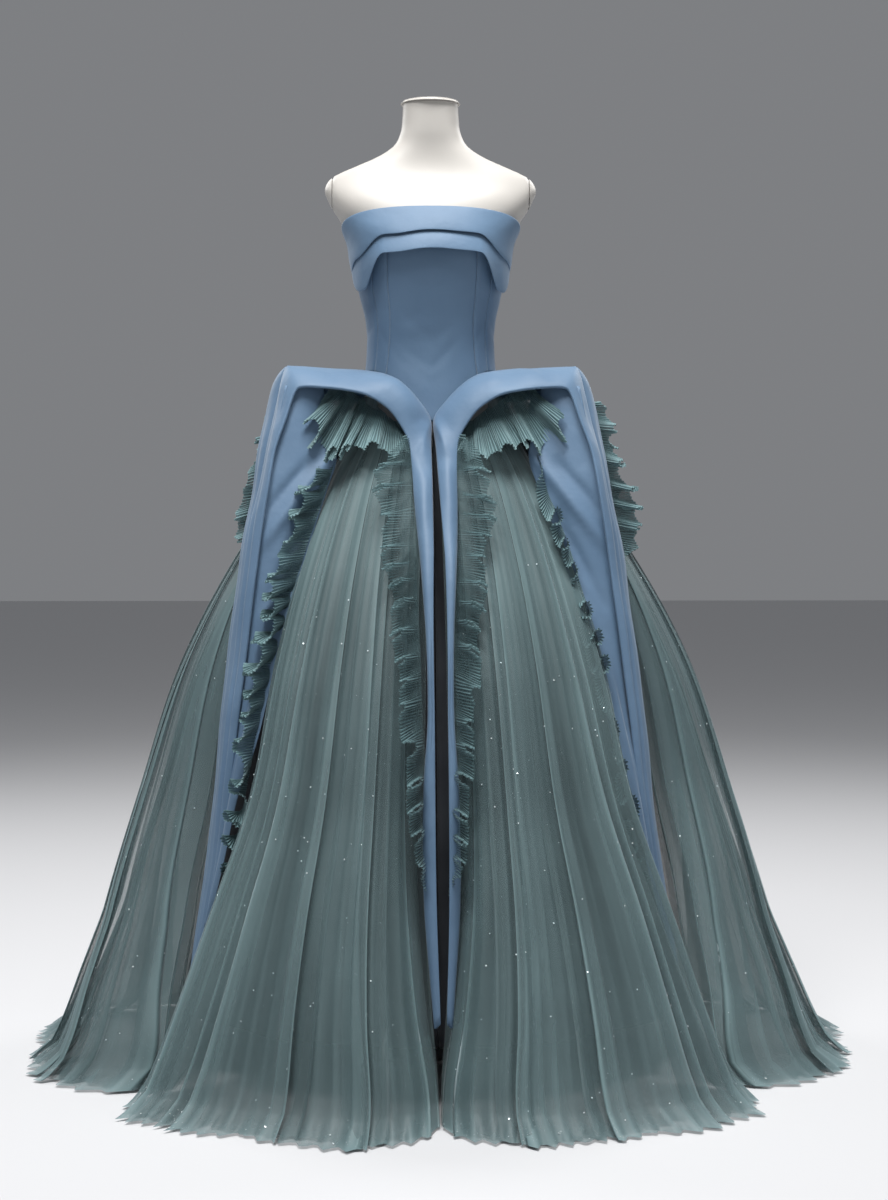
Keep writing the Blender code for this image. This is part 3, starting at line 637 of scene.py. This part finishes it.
joined = FRONT_HOOD[:-len(SIDE_EDGE) - 1:-1, :3]
reach = unit(SIDE_EDGE[:, :3] - joined)
half_hood = np.hstack([joined + reach * HOOD_SEAM, SIDE_EDGE])
other_half = half_hood[::-1] * (1, -1, 1, 1, -1, 1, 1, 1)
side_line = stations(np.vstack([half_hood, other_half]), HOOD_STATIONS)
for hand in ("left", "right"):
    grid = hood(side_line, SIDE_FOLDS, 0.4 * mirror[hand]) * (mirror[hand], 1, 1)
    piece = grid_object(f"satin_hood_side_{hand}", grid, blue_satin, wall=FLAP_WALL)
    finished(piece, "satin", f"hood_side_{hand}")

# ---- the facings ----
# The broad satin facing inside each outer leg, cut with the hood and turned back into it. It hangs loose
# between its edges, in two or three soft slanting creases.
# Its outer edge and its inner edge as (across, forward, up), for the front right opening.
FACING = np.array([
    (0.254, -0.136, 1.167, 0.190, -0.112, 1.180),
    (0.264, -0.156, 1.105, 0.178, -0.132, 1.105),
    (0.274, -0.172, 1.045, 0.165, -0.150, 1.045),
    (0.286, -0.188, 0.985, 0.182, -0.170, 0.985),
    (0.299, -0.204, 0.880, 0.215, -0.206, 0.880),
    (0.314, -0.225, 0.750, 0.254, -0.248, 0.750),
    (0.333, -0.250, 0.580, 0.292, -0.290, 0.580),
    (0.348, -0.264, 0.480, 0.326, -0.296, 0.480),
    (0.362, -0.279, 0.370, 0.350, -0.296, 0.370),
    (0.380, -0.288, 0.260, 0.377, -0.293, 0.260),
])
FACING_FOLDS = (
    (1.00, 0.14, 0.05, 0.34, 0.012, 0.0080),
    (0.85, 0.26, 0.30, 0.46, 0.010, -0.0050),
    (0.60, 0.16, 0.05, 0.28, 0.009, -0.0050),
    (0.85, 0.42, 0.30, 0.76, 0.009, 0.0050),
    (0.40, 0.56, 0.30, 0.94, 0.007, -0.0035),
)
FACING_STATIONS = 90
FACING_ACROSS = 30
FACING_BELLY = 0.006
for hand, where in QUARTERS:
    flat = strip(stations(FACING, FACING_STATIONS), FACING_ACROSS)
    share = np.linspace(0, 1, FACING_ACROSS)[None, :]
    grid = pushed(flat, FACING_BELLY * np.sin(math.pi * share) + creases(flat, FACING_FOLDS))
    grid = grid * (mirror[hand], mirror[where], 1)
    piece = grid_object(f"satin_facing_{where}_{hand}", grid, blue_satin, wall=FLAP_WALL)
    finished(piece, "satin", f"facing_{where}_{hand}")

# ---- the frills ----
# Strips of soft tulle, finely pleated, gathered on one edge and sewn inside each opening; the loose edge
# is crinkled and paler. They fall in uneven lobes, one step under another, and curl as they go down.
# Each table: the sewn edge and the loose edge as (across, forward, up), for the front right opening.
FRILL_TOP = np.array([
    (0.050, -0.150, 1.086, 0.032, -0.182, 1.058),
    (0.066, -0.140, 1.106, 0.066, -0.190, 1.040),
    (0.086, -0.134, 1.122, 0.104, -0.192, 1.052),
    (0.106, -0.128, 1.132, 0.146, -0.188, 1.054),
    (0.126, -0.120, 1.150, 0.176, -0.182, 1.044),
    (0.140, -0.116, 1.160, 0.206, -0.176, 1.054),
    (0.150, -0.112, 1.168, 0.230, -0.166, 1.092),
    (0.160, -0.108, 1.175, 0.222, -0.154, 1.138),
])
FRILL_OUTER = np.array([
    (0.180, -0.152, 1.050, 0.168, -0.190, 1.042),
    (0.206, -0.180, 0.965, 0.192, -0.220, 0.955),
    (0.228, -0.203, 0.900, 0.214, -0.246, 0.890),
    (0.246, -0.220, 0.840, 0.232, -0.264, 0.830),
    (0.267, -0.243, 0.760, 0.252, -0.288, 0.750),
    (0.286, -0.263, 0.680, 0.271, -0.308, 0.671),
    (0.302, -0.282, 0.600, 0.289, -0.326, 0.592),
    (0.316, -0.294, 0.520, 0.304, -0.336, 0.513),
    (0.328, -0.300, 0.440, 0.317, -0.338, 0.434),
    (0.345, -0.302, 0.350, 0.338, -0.330, 0.346),
    (0.367, -0.298, 0.260, 0.363, -0.316, 0.258),
])
FRILL_INNER = np.array([
    (0.034, -0.170, 1.085, 0.096, -0.200, 1.070),
    (0.036, -0.222, 0.980, 0.098, -0.274, 0.972),
    (0.032, -0.262, 0.900, 0.088, -0.322, 0.893),
    (0.030, -0.318, 0.810, 0.076, -0.374, 0.802),
    (0.026, -0.363, 0.710, 0.066, -0.420, 0.702),
    (0.024, -0.395, 0.620, 0.058, -0.454, 0.613),
    (0.022, -0.420, 0.540, 0.048, -0.486, 0.534),
    (0.020, -0.442, 0.450, 0.040, -0.515, 0.446),
    (0.016, -0.470, 0.340, 0.028, -0.530, 0.338),
])
FRILL_HIP = np.array([
    (0.300, -0.080, 0.860, 0.352, -0.078, 0.850),
    (0.302, -0.070, 0.940, 0.356, -0.066, 0.930),
    (0.290, -0.058, 1.020, 0.340, -0.052, 1.010),
    (0.272, -0.044, 1.085, 0.318, -0.040, 1.078),
    (0.256, -0.022, 1.134, 0.300, -0.024, 1.130),
    (0.250, 0.000, 1.146, 0.292, 0.000, 1.144),
])
PLEAT_PITCH = 0.0061
STEPS_A_PLEAT = 6
FRILL_ACROSS = 9
# How a spread moves the sewn edge in and the loose edge out, as (across, forward, up) for each, and the
# heights over which it grows.
SPREAD = np.array([-0.30, 0, 0, 0.85, 0.12, 0])
SPREAD_FROM, SPREAD_OVER = 0.27, 0.42


def sheer(tree, shader, label, uneven, dark, pale):
    """Colours a net from dark to pale by a named number on its points, which carries its painted light and
    shade, plus an unevenness, clipped to 0 to 1. Returns the plain number and the uneven one."""
    plain = node(tree, "ShaderNodeAttribute")
    plain.attribute_name = label
    total = node(tree, "ShaderNodeMath")
    total.use_clamp = True
    tree.links.new(plain.outputs["Fac"], total.inputs[0])
    tree.links.new(uneven, total.inputs[1])
    two_tone(tree, shader, dark, pale, total.outputs["Value"])
    return plain.outputs["Fac"], total.outputs["Value"]


def see_through(tree, shader, amount, thin, thick):
    """How much a net hides, from thin to thick by an amount."""
    hides = node(tree, "ShaderNodeMapRange", To_Min=thin, To_Max=thick)
    tree.links.new(amount, hides.inputs["Value"])
    tree.links.new(hides.outputs["Result"], shader.inputs["Alpha"])


def frill_cloth(name, thin, thick):
    """Crinkled teal tulle: thin to see through in its pleats, with painted shade there, and closer on top of
    them, with a painted highlight.
    """
    # dark is painted shade in the pleats; pale is a painted highlight on the pleat tops and the lighter
    # colour along the loose edge.
    dark, pale = (0.028, 0.068, 0.078), (0.170, 0.290, 0.306)
    middling = (0.10, 0.21, 0.225)
    made, tree, shader = new_finish(name, middling, 0.62, Sheen_Weight=0.35, Sheen_Roughness=0.4)
    shader.inputs["Sheen Tint"].default_value = (0.72, 0.92, 0.95, 1)
    on_top, _ = sheer(tree, shader, "pale", blotches(tree, 30.0, 4.0, -0.15, 0.15), dark, pale)
    see_through(tree, shader, on_top, thin, thick)
    return made


def frill(table, lobe, swing, loop, sag, wobble):
    """A pleated strip that ruffles from one line to another.

    Its loose edge swings from side to side by a sine along its length, runs on and back by a second
    sine at twice the pace, so that each lobe rounds out and its neck closes, and sags by a third. The
    pace and the size drift, so that no two lobes are alike. Fine pleats, a sine of their own, follow
    the loose edge's length, which is some two or three times that of the sewn one. The strip narrows
    at both ends. Returns the points and how far up its pleat each lies, from 0 to 1.
    """
    length = run_along((table[:, :3] + table[:, 3:]) / 2)[-1]
    line = stations(table, 400, 0.0)
    share_of = np.linspace(0, 1, 400)
    loose = np.linspace(0, 1, FRILL_ACROSS)[None, :]

    def ruffled(share):
        both = np.stack([np.interp(share, share_of, line[:, k]) for k in range(6)], -1)
        sewn, edge = both[:, :3], both[:, 3:]
        run = share * length
        along = unit(np.gradient(sewn, axis=0))
        side = unit(np.cross(edge - sewn, along))
        side = side * np.sign((side[:, :2] * sewn[:, :2]).sum())
        drift = 0.20 * np.sin(run / 0.031 + wobble) + 0.30 * np.sin(run / 0.083 + 2.1 * wobble)
        beat = 2 * math.pi * (run / lobe + drift)
        size = (0.82 + 0.34 * np.sin(run / 0.047 + 1.7 * wobble)) * np.clip(12 * share * (1 - share), 0.15, 1)
        across = swing * size * np.sin(beat)
        onward = size * (sag * np.cos(beat + 0.6) - loop * np.sin(2 * beat))
        reach = 1 - 0.22 * size * np.sin(beat) ** 2 + 0.10 * np.sin(run / 0.023 + wobble)
        reach = reach * np.clip(16 * share * (1 - share), 0.2, 1) ** 0.7
        flat = sewn[:, None] + (edge - sewn)[:, None] * (loose * reach[:, None])[..., None]
        opened = loose**1.1
        swung = side[:, None] * (across[:, None] * opened)[..., None]
        return flat + swung + along[:, None] * (onward[:, None] * opened)[..., None]

    even = np.linspace(0, 1, 1500)
    edge_run = run_along(ruffled(even)[:, -1])
    count = int(edge_run[-1] / PLEAT_PITCH * STEPS_A_PLEAT)
    grid = ruffled(np.interp(np.linspace(0, edge_run[-1], count), edge_run, even))
    run = np.linspace(0, edge_run[-1], count)[:, None]
    fine = np.sin(2 * math.pi * run / PLEAT_PITCH + 0.4 * np.sin(run / 0.016 + wobble))
    crinkle = 0.0009 * loose**6 * np.sin(2 * math.pi * run / (2.3 * PLEAT_PITCH) + wobble)
    return pushed(grid, fine * (0.0005 + 0.0014 * loose) + crinkle), 0.5 + 0.5 * fine


def add_frill(name, grid, up, side, sewn_to, cut, net):
    """Makes one frill, mirrored to its side, pale along its loose edge and with a painted highlight on top of
    each pleat.
    """
    rows, columns = grid.shape[:2]
    # A painted highlight on the top of each pleat, plus a lighter colour towards the loose edge.
    pleat_highlight_and_pale_edge = 0.44 * np.linspace(0, 1, columns)[None, :] ** 2.4 + 0.56 * up + 0 * grid[..., 0]
    piece = grid_object(f"pleated_{name}", grid * side, net, weights={"pale": pleat_highlight_and_pale_edge})
    finished(piece, "frill_tulle", name)


crisp_net = frill_cloth("frill_tulle", 0.66, 0.97)
soft_net = frill_cloth("soft_frill_tulle", 0.30, 0.78)
# Each frill: name, its lines, the length of a lobe, how far its lobes swing, run on and sag, how far it
# spreads out over the facing (less towards the tip), and its cut.
FRILLS = (
    ("top", FRILL_TOP, 0.044, 0.012, 0.008, 0.006, 0.000, (0.086, 0.50)),
    ("outer", FRILL_OUTER, 0.047, 0.019, 0.0085, 0.012, 0.054, (0.062, 1.70)),
    ("inner", FRILL_INNER, 0.046, 0.011, 0.005, 0.010, 0.000, (0.062, 1.60)),
)
# The right hand outer frills are narrower, with longer lobes that curl over more.
CURLED = ("outer", FRILL_OUTER, 0.066, 0.017, 0.0125, 0.010, 0.004, (0.044, 1.60))
for hand, where in QUARTERS:
    top, outer, inner = FRILLS
    outer = CURLED if hand == "right" else outer
    hood_behind = f"satin_hood_{where}_{hand}"
    for place, table, lobe, swing, loop, sag, spread, cut in (top, outer, inner):
        wobble = 1.7 * mirror[hand] + 0.9 * mirror[where] + len(place)
        side = (mirror[hand], mirror[where], 1)
        taper = np.clip((table[:, 5:6] - SPREAD_FROM) / SPREAD_OVER, 0.08, 1)
        ruffle = frill(table + spread * taper * SPREAD, lobe, swing, loop, sag, wobble)
        net = soft_net if place == "inner" else crisp_net
        add_frill(f"frill_{place}_{where}_{hand}", *ruffle, side, hood_behind, cut, net)
for hand, reach_out, length_cut in (("left", 0.962, 1.05), ("right", 1.045, 1.45)):
    table = FRILL_HIP * (1, 1, 1, reach_out, 1, 1)
    whole = np.vstack([table, table[-2::-1] * (1, -1, 1, 1, -1, 1)])
    ruffle = frill(whole, 0.050, 0.015, 0.005, 0.012, 2.4 * mirror[hand])
    side, hood_behind = (mirror[hand], 1, 1), f"satin_hood_side_{hand}"
    add_frill(f"frill_hip_{hand}", *ruffle, side, hood_behind, (0.050, length_cut), crisp_net)

# ---- the tulle skirt ----
# Six full masses of soft glitter tulle, one out of each opening, gathered at the waist and falling to the
# floor. Each has an outer layer and a layer under it. The folds open towards the hem, which is cut
# unevenly and turns out along the floor.
# Height, radius, depth over width, share drawn in at a mass's sides, where the front mass starts and
# ends and the side mass starts (degrees from the front), underskirt radius.
SKIRT = np.array([
    (0.001, 0.704, 1.00, 0.17, 0.2, 52.0, 55.0, 0.460),
    (0.060, 0.672, 1.00, 0.17, 0.6, 51.4, 55.4, 0.446),
    (0.155, 0.632, 1.00, 0.17, 2.2, 50.0, 59.0, 0.428),
    (0.310, 0.568, 1.00, 0.17, 4.0, 48.0, 64.0, 0.392),
    (0.470, 0.500, 1.00, 0.18, 5.0, 46.0, 68.0, 0.350),
    (0.700, 0.410, 0.98, 0.14, 5.0, 48.0, 69.0, 0.290),
    (0.870, 0.325, 0.93, 0.09, 5.0, 51.0, 69.0, 0.236),
    (1.000, 0.250, 0.82, 0.06, 5.0, 53.0, 70.0, 0.196),
    (1.100, 0.180, 0.68, 0.05, 5.0, 54.0, 71.0, 0.158),
    (1.170, 0.150, 0.66, 0.04, 5.0, 54.0, 72.0, 0.142),
])
TULLE_TOP = 1.108
TULLE_TOP_RISE = 0.045
TULLE_BREAK = 0.036
TULLE_FLOOR = 0.003
FLOOR_ROWS = 9
SMALL_PLEATS = 21
SMALL_PLEAT_RISE = 0.008
SIDE_MASS_WIDTH = 1.35
OUTER_ROWS, OUTER_COLUMNS = 70, 230
UNDER_ROWS, UNDER_COLUMNS = 50, 100
UNDER_INSET = 0.030
UNDER_OPENING = 0.6
FACE = 0.80
SIDE_FULLNESS = 0.034


def mass(side_mass, folds, rows, columns, inset, opening, phase):
    """One mass of tulle: an oval cone drawn in towards its two sides, laid in broad flat folds.

    Across each fold the net rises evenly from the cone over its face, runs on past the start of the
    next fold, and turns back under its own edge; small sharp pleats run between the edges. Rise,
    overlap and pleats grow from the waist down. Below the break the net turns out along the floor, each
    fold by its own amount. opening is how much of the parting at the centre front the layer keeps.
    Returns the points and the painted light on each: a painted highlight in a line along the fold's edge,
    painted shade where it turns back under.
    """
    fall = np.concatenate([np.linspace(0, 1, rows - FLOOR_ROWS) ** 0.9, np.ones(FLOOR_ROWS)])[:, None]
    spread = np.concatenate([np.zeros(rows - FLOOR_ROWS), np.linspace(0, 1, FLOOR_ROWS + 1)[1:]])[:, None]
    table = np.array(folds)
    borders = np.vstack([table[:, :2], [(1.0, 1.0)]])
    u = np.linspace(0, len(folds) - 1e-6, columns)
    k = u.astype(int)
    leans_on = table[k, 3] > 0
    p = np.where(leans_on, u - k, 1 - (u - k))[None, :]
    low = borders[k, 0] + (borders[k, 1] - borders[k, 0]) * fall
    high = borders[k + 1, 0] + (borders[k + 1, 1] - borders[k + 1, 0]) * fall
    grown = 0.10 + 0.90 * fall**1.15
    face, back = np.clip(p / FACE, 0, 1), np.clip((p - FACE) / (1 - FACE), 0, 1)
    lap = np.abs(table[k, 3]) * grown
    crossed = face * (1 + lap) - back * lap
    share = np.where(leans_on, low + (high - low) * crossed, high - (high - low) * crossed)
    share = share + 0.20 * (high - low) * table[k, 5] * spread * np.sin(math.pi * np.clip(crossed, 0, 1))
    lift = np.where(p <= FACE, face**0.8 + 0.16 * np.sin(math.pi * face), np.cos(0.5 * math.pi * back))
    raised = table[k, 2] * grown * lift
    start_share = np.linspace(0, 1, columns)[None, :]
    rise = 1 if side_mass else np.clip((start_share - 0.35) / 0.40, 0, 1)
    top = TULLE_TOP + TULLE_TOP_RISE * rise**2 * (3 - 2 * rise)
    z = top + (TULLE_BREAK - top) * fall + (TULLE_FLOOR - TULLE_BREAK) * (1 - (1 - spread) ** 2)
    read = lambda column: through(SKIRT[:, 0], SKIRT[:, column], z)
    start, stop = (read(6), 180 - read(6)) if side_mass else (read(4) * opening, read(5))
    turn = np.radians(start + (stop - start) * np.clip(share, 0, 1))
    edge = np.abs(2 * np.clip(share, 0, 1) - 1)
    full = SIDE_FULLNESS * np.sin(math.pi * np.clip((z - 0.25) / 0.90, 0, 1)) if side_mass else 0
    radius = (read(1) - inset + full) * (1 - read(3) * edge**6)
    drift = 0.006 * np.sin(9 * share + 5 * fall + phase) + 0.0025 * np.sin(31 * share + 9 * fall)
    small = np.abs((share * SMALL_PLEATS + 0.5 * np.sin(7 * share + phase)) % 1 * 2 - 1)
    drift = drift * fall + SMALL_PLEAT_RISE * fall**1.4 * (small - 0.5)
    flop = table[k, 4] * spread * (0.55 + 0.40 * lift + 0.50 * (small - 0.5))
    radius = radius + raised - 0.024 * fall + drift + flop
    wave = 0.005 * spread * (1 - spread) * 4 * np.clip(np.sin(17 * share + phase), 0, 1)
    grid = np.stack([radius * np.sin(turn), -radius * np.cos(turn) * read(2), z + wave + 0 * share], -1)
    # Painted light on the net: a painted highlight along each fold's edge and on the small pleats, painted
    # shade where the net turns back under. It is dimmed towards the waist and raised again just at the waist,
    # and the hem laid on the floor is painted paler. The same number also sets how closely the net hides what
    # lies behind it.
    line = np.exp(-(((p - FACE) / 0.055) ** 2))
    light = np.where(p <= FACE, 0.26 + 0.26 * face, 0.26 * (1 - back)) + 0.55 * line * (0.3 + 0.7 * fall)
    light = light + 0.22 * fall * small**4
    return grid, np.clip(light * (0.75 + 0.25 * fall) + 0.35 * spread + 0.45 * (1 - fall) ** 3, 0, 1)


def tulle_cloth(name, fold_shade, fold_highlight, thin, thick):
    """Fine net: thinner to see through on the ridges of its folds and closer in the valleys, with glitter
    dust that catches on the ridges. Its colour runs from painted shade in the valleys to a painted highlight
    on the ridges."""
    made, tree, shader = new_finish(name, fold_highlight, 0.55, Sheen_Weight=0.30, Sheen_Roughness=0.35)
    shader.inputs["Sheen Tint"].default_value = (0.75, 0.90, 0.95, 1)
    streaks = blotches(tree, 15.0, 3.0, -0.22, 0.22, coordinate="UV", stretch=(1, 0.06, 1))
    uneven = node(tree, "ShaderNodeMath")
    tree.links.new(streaks, uneven.inputs[0])
    tree.links.new(blotches(tree, 4.0, 3.0, -0.12, 0.12), uneven.inputs[1])
    _, raised = sheer(tree, shader, "fold_highlight", uneven.outputs["Value"], fold_shade, fold_highlight)
    see_through(tree, shader, raised, thin, thick)
    return made


# Each net's first colour is painted shade where its folds turn under, the second a painted highlight along
# the fold edges.
outer_net = tulle_cloth("glitter_tulle", (0.062, 0.104, 0.112), (0.185, 0.280, 0.292), 0.34, 0.82)
under_net = tulle_cloth("under_tulle", (0.060, 0.088, 0.094), (0.150, 0.215, 0.222), 0.34, 0.80)
# Each fold of a mass: where it starts across the mass at the waist and at the hem, its rise at the hem,
# how far it laps over its neighbour (back if negative), how far its hem lies out along the floor, and
# which way that hem turns.
FRONT_TULLE = (
    (0.00, 0.00, 0.020, -0.30, 0.020, 0.6),
    (0.08, 0.07, 0.016, -0.42, 0.034, -0.8),
    (0.19, 0.19, 0.022, -0.26, 0.026, 0.5),
    (0.27, 0.26, 0.014, -0.50, 0.038, -0.9),
    (0.42, 0.42, 0.018, -0.30, 0.022, 0.8),
    (0.49, 0.50, 0.020, 0.34, 0.036, 0.4),
    (0.62, 0.64, 0.015, 0.50, 0.030, -0.7),
    (0.69, 0.70, 0.022, 0.28, 0.036, 0.9),
    (0.83, 0.82, 0.016, 0.45, 0.024, -0.5),
    (0.92, 0.91, 0.018, 0.25, 0.020, 0.3),
)
SIDE_TULLE = (
    (0.00, 0.00, 0.018, -0.30, 0.018, 0.5),
    (0.07, 0.06, 0.016, -0.40, 0.030, -0.8),
    (0.19, 0.20, 0.022, -0.28, 0.024, 0.6),
    (0.27, 0.28, 0.016, -0.48, 0.034, -0.6),
    (0.38, 0.39, 0.020, -0.32, 0.022, 0.9),
    (0.48, 0.47, 0.018, 0.36, 0.032, -0.4),
    (0.60, 0.61, 0.022, 0.48, 0.026, 0.7),
    (0.68, 0.69, 0.016, 0.30, 0.034, -0.9),
    (0.80, 0.80, 0.020, 0.44, 0.030, -0.6),
    (0.91, 0.92, 0.016, 0.26, 0.018, -0.4),
)
FINE_FLAKES = 1300
BOLD_FLAKES = 130


def flakes(name, grid, raised, seed):
    """Loose glitter on the net: four-sided flakes at random places on the grid, most of them lying on it
    and turned by a few degrees. The fine ones gather along the ridges of the folds, the bold ones are
    spread evenly."""
    draw = np.random.default_rng(seed)
    rows, columns = grid.shape[:2]
    row = draw.uniform(0.10, 0.985, 9 * FINE_FLAKES) ** 0.75 * (rows - 2)
    column = draw.uniform(0.02, 0.98, 9 * FINE_FLAKES) * (columns - 2)
    chance = raised[row.astype(int), column.astype(int)] ** 5 + 0.03
    kept = np.flatnonzero(draw.uniform(0, 1, len(row)) < chance)[:FINE_FLAKES]
    kept = np.concatenate([kept, np.arange(len(row) - BOLD_FLAKES, len(row))])
    row, column, count = row[kept], column[kept], len(kept)
    r, c = row.astype(int), column.astype(int)
    places = grid[r, c] + (grid[r + 1, c] - grid[r, c]) * (row - r)[:, None]
    places = places + (grid[r, c + 1] - grid[r, c]) * (column - c)[:, None]
    out = unit(facing_out(grid)[r, c] + draw.normal(0, 0.28, (count, 3)))
    first = unit(np.cross(out, draw.normal(0, 1, (count, 3))))
    second = np.cross(out, first)
    fine_size, bold_size = draw.uniform(0.00025, 0.00045, count), draw.uniform(0.0009, 0.0016, count)
    size = np.where(np.arange(count) < count - BOLD_FLAKES, fine_size, bold_size)[:, None]
    middle = places + facing_out(grid)[r, c] * 0.0014
    first, second = first * size, second * size
    points = np.stack([middle + first, middle + second, middle - first, middle - second], 1)
    mesh = bpy.data.meshes.new(name)
    mesh.from_pydata(points.reshape(-1, 3).tolist(), [], np.arange(4 * count).reshape(-1, 4).tolist())
    mesh.materials.append(glitter)
    made = in_scene(name, mesh)
    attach(made, "root")
    return made


glitter, tree, shader = new_finish("glitter_flake", (0.85, 0.93, 0.96), 0.25, Metallic=0.25)
two_tone(tree, shader, (1.0, 1.0, 1.0), (0.72, 0.88, 0.92), blotches(tree, 60.0, 2.0))
SIDEWAYS = {"left": 0.985, "right": 1.028}
MASSES = [(f"tulle_{where}_{hand}", False, hand, where) for hand, where in QUARTERS]
MASSES += [(f"tulle_side_{hand}", True, hand, "front") for hand in ("left", "right")]
for number, (name, side_mass, hand, where) in enumerate(MASSES):
    folds = SIDE_TULLE if side_mass else FRONT_TULLE
    wide = SIDE_MASS_WIDTH if side_mass else 1.0
    flip = (mirror[hand] * SIDEWAYS[hand], mirror[where], 1)
    phase = 1.9 * number + 0.6
    grid, raised = mass(side_mass, folds, OUTER_ROWS, int(OUTER_COLUMNS * wide), 0.0, 1.0, phase)
    grid = grid * flip
    net = grid_object(f"{name[6:]}_net", grid, outer_net, weights={"fold_highlight": raised})
    finished(net, "glitter_tulle", name)
    dusting = flakes(f"glitter_{name[6:]}", grid, raised, 40 + number)
    columns = int(UNDER_COLUMNS * wide)
    grid, raised = mass(side_mass, folds[::2], UNDER_ROWS, columns, UNDER_INSET, UNDER_OPENING, phase + 2.0)
    under = grid_object(f"{name[6:]}_under_net", grid * flip, under_net, weights={"fold_highlight": raised})
    finished(under, "glitter_tulle", name)

# ---- the underskirt ----
# A plain four-gore underskirt of dull dark lining, its near-black colour partly its own and partly painted
# shade for the hollow inside the skirt. It is cut narrower than the tulle and ends above the floor. It hangs
# in a few shallow waves.
UNDERSKIRT_TOP = 1.108
UNDERSKIRT_HEM = 0.090
GORE_ROWS = 44
GORE_COLUMNS = 36
GORE_WAVE = 0.008
GORE_WAVES = 3
GORE_GAP = 0.0007
# Near-black lining: partly its own dark colour, partly painted shade for the hollow inside the skirt.
lining_with_painted_shade, tree, shader = new_finish("underskirt_cloth", (0.05, 0.055, 0.065), 0.9)
two_tone(tree, shader, (0.020, 0.023, 0.029), (0.034, 0.038, 0.046), blotches(tree, 12.0, 4.0))
for hand, where in QUARTERS:
    down = np.linspace(0, 1, GORE_ROWS)[:, None]
    z = UNDERSKIRT_TOP + (UNDERSKIRT_HEM - UNDERSKIRT_TOP) * down
    share = np.linspace(0, 1, GORE_COLUMNS)[None, :]
    radius = through(SKIRT[:, 0], SKIRT[:, 7], z)
    seam = GORE_GAP / radius
    turn = seam + (math.pi / 2 - 2 * seam) * share
    wave = GORE_WAVE * down * np.cos(2 * math.pi * GORE_WAVES * share + mirror[hand])
    radius = radius + wave * np.sin(math.pi * share) ** 0.5
    depth = through(SKIRT[:, 0], SKIRT[:, 2], z)
    grid = np.stack([radius * np.sin(turn), -radius * np.cos(turn) * depth, z + 0 * share], -1)
    grid = grid * (mirror[hand], mirror[where], 1)
    piece = grid_object(f"{where}_{hand}_gore", grid, lining_with_painted_shade, wall=FLAP_WALL)
    finished(piece, "underskirt_cloth", f"underskirt_{where}_{hand}")
